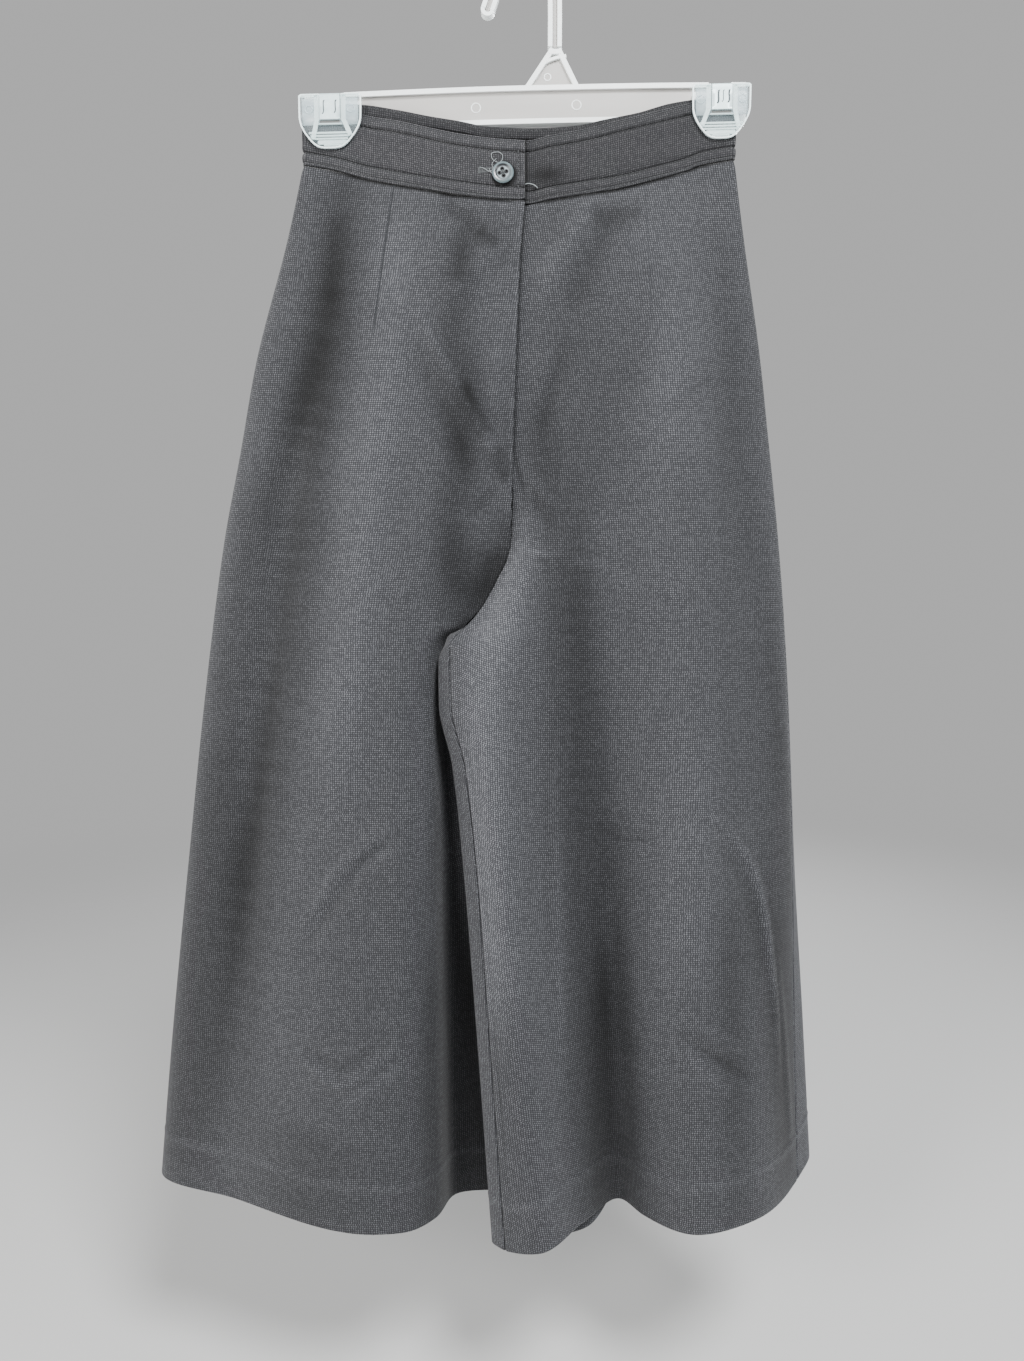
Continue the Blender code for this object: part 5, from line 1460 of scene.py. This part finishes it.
def make_jaw(side, clear, spring_shadow):
    """Front jaw: a clear plate, its solid upper part, a raised rim, two bent ribs, a sill, three grip
    ridges, a thumb pad with a step, moulding marks, and dark bars that paint the shadow round the spring."""
    front = JAW_BACK - JAW_THICK
    floor = front + JAW_SINK
    root = floor + 0.2
    width = JAWS[side][2]
    rim = 1 - 2 * JAW_RIM / width
    levels = ((0.985, JAW_BACK), (1.0, JAW_BACK - 0.3), (1.0, floor + 0.2), (0.99, floor))
    points, faces = stacked_outlines([(jaw_outline(side, scale), y) for scale, y in levels])
    add_piece("clip_front_" + side, points, faces, clear["jaw"], ["clip_jaw_" + side])
    points, faces = framed(jaw_outline(side), jaw_outline(side, rim), floor + 0.3, front)
    bevelled(add_piece("clip_rim_" + side, points, faces, clear["rim"]), 0.35)
    proud = front - 0.05
    reach, middle, high = width / 2 - JAW_RIM - 1.4, (BLOCK_FOOT - JAW_NOTCH) / 2, -BLOCK_FOOT - JAW_NOTCH
    points, faces = jaw_bar(side, (-reach, middle), (reach, middle), high, floor + 0.1, floor - BLOCK_PROUD)
    add_piece("clip_block_" + side, points, faces, clear["block"])
    inward = -1 if side == "left" else 1
    inner_foot, outer_foot = JAW_RIB_FEET[side]
    parts = []
    for sign in (-1, 1):
        foot_x, foot_z = inner_foot if sign == inward else outer_foot
        parts += [
            jaw_bar(side, (sign * RIB_X, -0.8), (sign * RIB_X, -19.2), 4.2, root, proud),
            jaw_bar(side, (sign * RIB_X, -18.2), (sign * foot_x, foot_z), 3.4, root, proud),
            jaw_bar(side, (sign * 9.0, -1.5), (sign * (width / 2 - 1.5), -1.5), 2.6, root, proud),
        ]
    parts.append(jaw_bar(side, (-9.0, -22.1), (9.0, -22.1), 1.0, root, proud - 0.1))
    parts += [jaw_bar(side, (-half, z), (half, z), 1.5, root, front + 0.35) for half, z in GRIPS]
    points, faces = joined(parts)
    ribs = add_piece("clip_ribs_" + side, points, faces, clear["ribs"], outward=False)
    bevelled(ribs, 0.35)
    shift = inward * PAD_SHIFT[side]
    points, faces = joined([thumb_pad(side, shift, z, half_wide, half_high, root, front - over)
                            for z, half_wide, half_high, over in THUMB_PADS])
    pad = add_piece("clip_pad_" + side, points, faces, clear["ribs"], outward=False)
    bevelled(pad, 0.4)
    mark_x, mark_z, radius = JAW_MARK
    points, faces = joined([ring(jaw_point(side, x, mark_z), radius, 0.30, floor - BLOCK_PROUD)
                            for x in (-mark_x, mark_x)])
    add_piece("clip_marks_" + side, points, faces, clear["marks"])
    # Dark bars beside and under the spring, which paint its shadow
    points, faces = joined([jaw_bar(side, (x0, z0), (x1, z1), wide, root, front + 0.6)
                            for x0, z0, x1, z1, wide in SPRING_SHADOWS])
    bevelled(add_piece("clip_shade_" + side, points, faces, spring_shadow), 0.2)


def thumb_pad(side, x, z, half_wide, half_high, y_from, y_to):
    """Bar with half-round ends."""
    turn = np.linspace(-np.pi / 2, np.pi / 2, 9)
    right = [(x + half_wide - half_high + half_high * math.cos(a), z + half_high * math.sin(a)) for a in turn]
    left = [(2 * x - px, 2 * z - pz) for px, pz in right]
    return plate([jaw_point(side, *p) for p in right + left], y_from, y_to)


def make_spring(side, steel, slot_shade):
    """Strip carried over the bar, with pressed curved slots on its front leg, drawn as dark tubes on its face
    that paint the shade in them.
    """
    middle, top, _ = JAWS[side]
    front = JAW_BACK - JAW_THICK - 0.8
    back = FLANGE_DEPTH / 2 + 0.9
    turn = 1.6      # radius of its bends over the bar
    foot, bend = top - SPRING_LEG, top - 0.3 - turn
    path = [(front, z) for z in np.linspace(foot, bend, 8)]
    path += [(front + turn - turn * math.cos(a), bend + turn * math.sin(a))
             for a in np.radians(range(15, 91, 15))]
    path += [(back - turn + turn * math.sin(a), bend + turn * math.cos(a))
             for a in np.radians(range(0, 91, 15))]
    path += [(back, z) for z in np.linspace(bend - 2, foot, 6)]
    path = np.array(path)
    along = unit(np.gradient(path, axis=0))
    out = np.stack([-along[:, 1], along[:, 0]], 1) * SPRING_THICK / 2
    xs = middle + np.array([-1, -0.97, -0.5, 0, 0.5, 0.97, 1]) * SPRING_WIDTH / 2
    grid = np.array([[(x, y, z + JAW_TILT * (x - middle)) for y, z in path] for x in xs])
    lift = np.concatenate([np.zeros((len(path), 1)), out], 1)[None]
    points, faces = shell(grid + lift, grid - lift)
    bevelled(add_piece("spring_" + side, points, faces, steel, ["clip_spring_" + side]), 0.25)
    # Each slot is a dark tube on the spring's face, which paints the shade in the slot
    slots = []
    for x, tall, thick in SPRING_SLOTS[side]:
        line = [jaw_point(side, x + beside, SLOT_TOP - drop * tall) for drop, beside in SLOT_BEND]
        slots.append(tube([(px, front - SPRING_THICK / 2 - 0.02, pz) for px, pz in line], thick, 6, 36))
    points, faces = joined(slots)
    add_piece("spring_slots_" + side, points, faces, slot_shade)


# Stage

def make_stage():
    """Pale floor that fades into the backdrop's colour with distance."""
    mesh = bpy.data.meshes.new("floor")
    corners = ((-1, -1), (1, -1), (1, 1), (-1, 1))
    mesh.from_pydata([(x * FLOOR_HALF, y * FLOOR_HALF, FLOOR_Z) for x, y in corners], [], [(0, 1, 2, 3)])
    finish = Finish("pale floor", base_color=FLOOR_COLOUR, roughness=0.9, specular_ior_level=0.1)
    x, y, _ = finish.place()
    finish.set("Alpha", (x * x + y * y).root().ease(2.6, 0.5))
    mesh.materials.append(finish.material)
    floor = bpy.data.objects.new("floor", mesh)
    bpy.context.scene.collection.objects.link(floor)


def make_light(name, place, size, power, colour):
    data = bpy.data.lights.new(name, "AREA")
    data.shape, data.size, data.energy, data.color = "DISK", size, power, colour
    light = bpy.data.objects.new(name, data)
    light.location = place
    light.rotation_euler = (Vector(LIGHT_AIM) - Vector(place)).to_track_quat("-Z", "Y").to_euler()
    bpy.context.scene.collection.objects.link(light)


def make_world():
    """Plain backdrop, and a dimmer, even light from all round."""
    world = bpy.data.worlds.new("studio")
    world.use_nodes = True
    nodes, links = world.node_tree.nodes, world.node_tree.links
    around = nodes["Background"]
    around.inputs["Color"].default_value = (*AMBIENT_COLOUR, 1)
    around.inputs["Strength"].default_value = AMBIENT_STRENGTH
    backdrop = nodes.new("ShaderNodeBackground")
    backdrop.inputs["Color"].default_value = (*BACKDROP_COLOUR, 1)
    seen = nodes.new("ShaderNodeLightPath")
    mixed = nodes.new("ShaderNodeMixShader")
    links.new(seen.outputs["Is Camera Ray"], mixed.inputs[0])
    links.new(around.outputs[0], mixed.inputs[1])
    links.new(backdrop.outputs[0], mixed.inputs[2])
    links.new(mixed.outputs[0], nodes["World Output"].inputs["Surface"])
    bpy.context.scene.world = world


def make_camera():
    data = bpy.data.cameras.new("camera")
    data.sensor_width, data.lens = 36.0, CAMERA_LENS
    data.clip_start, data.clip_end = 0.01, 60.0
    camera = bpy.data.objects.new("camera", data)
    camera.location = CAMERA_PLACE
    camera.rotation_euler = (math.radians(90 - CAMERA_DOWN), 0, 0)
    bpy.context.scene.collection.objects.link(camera)
    bpy.context.scene.camera = camera


# The band's copy of the knit has darker light stitches than the panels', as painted shade
knit = knit_finish("charcoal knit of the band", light=(0.076, 0.0755, 0.079))
darted_knit = knit_finish("charcoal knit with darts", 0.85)
faintly_darted_knit = knit_finish("charcoal knit with flat darts", 0.3)
dark_thread = thread_finish("dark sewing thread", (0.006, 0.007, 0.008), (0.034, 0.036, 0.040))
pale_thread = thread_finish("pale thread end", (0.11, 0.125, 0.13), (0.28, 0.305, 0.31))
grey_thread = thread_finish("grey sewing thread", (0.014, 0.016, 0.018), (0.055, 0.061, 0.064))
plastic = clear_plastic_finish("clear plastic", 0.86, 0.97, (0.44, 0.425, 0.405), (0.90, 0.935, 0.93), True)
clear = {part: clear_plastic_finish("clear plastic " + part, *looks)
         for part, looks in CLEAR_PLASTICS.items()}
steel = steel_finish()
spring_shadow = Finish("painted shadow round the spring", base_color=(0.15, 0.155, 0.15), roughness=0.7).material
slot_shade = Finish("shadowed slots in the spring", base_color=(0.035, 0.045, 0.05), roughness=0.8).material

for panel_name in PANELS:
    make_panel(panel_name, faintly_darted_knit if panel_name == "front_left" else darted_knit)
waistband, stitch_rows = make_waistband(knit)
stitching = make_stitches(stitch_rows, dark_thread)
make_zip(tape_finish(), dark_thread)
make_buttonhole(dark_thread, grey_thread)
make_loose_threads(pale_thread)
make_button_thread(grey_thread)
for node, material in (("button", button_finish()), ("zip_slider", steel)):
    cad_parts[node].data.materials.clear()
    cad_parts[node].data.materials.append(material)
make_hook(plastic)
make_bar(plastic)
for jaw_side in JAWS:
    make_jaw(jaw_side, clear, spring_shadow)
    make_spring(jaw_side, steel, slot_shade)

make_stage()
make_world()
make_camera()
for light_name, settings in LIGHTS.items():
    make_light(light_name, *settings)
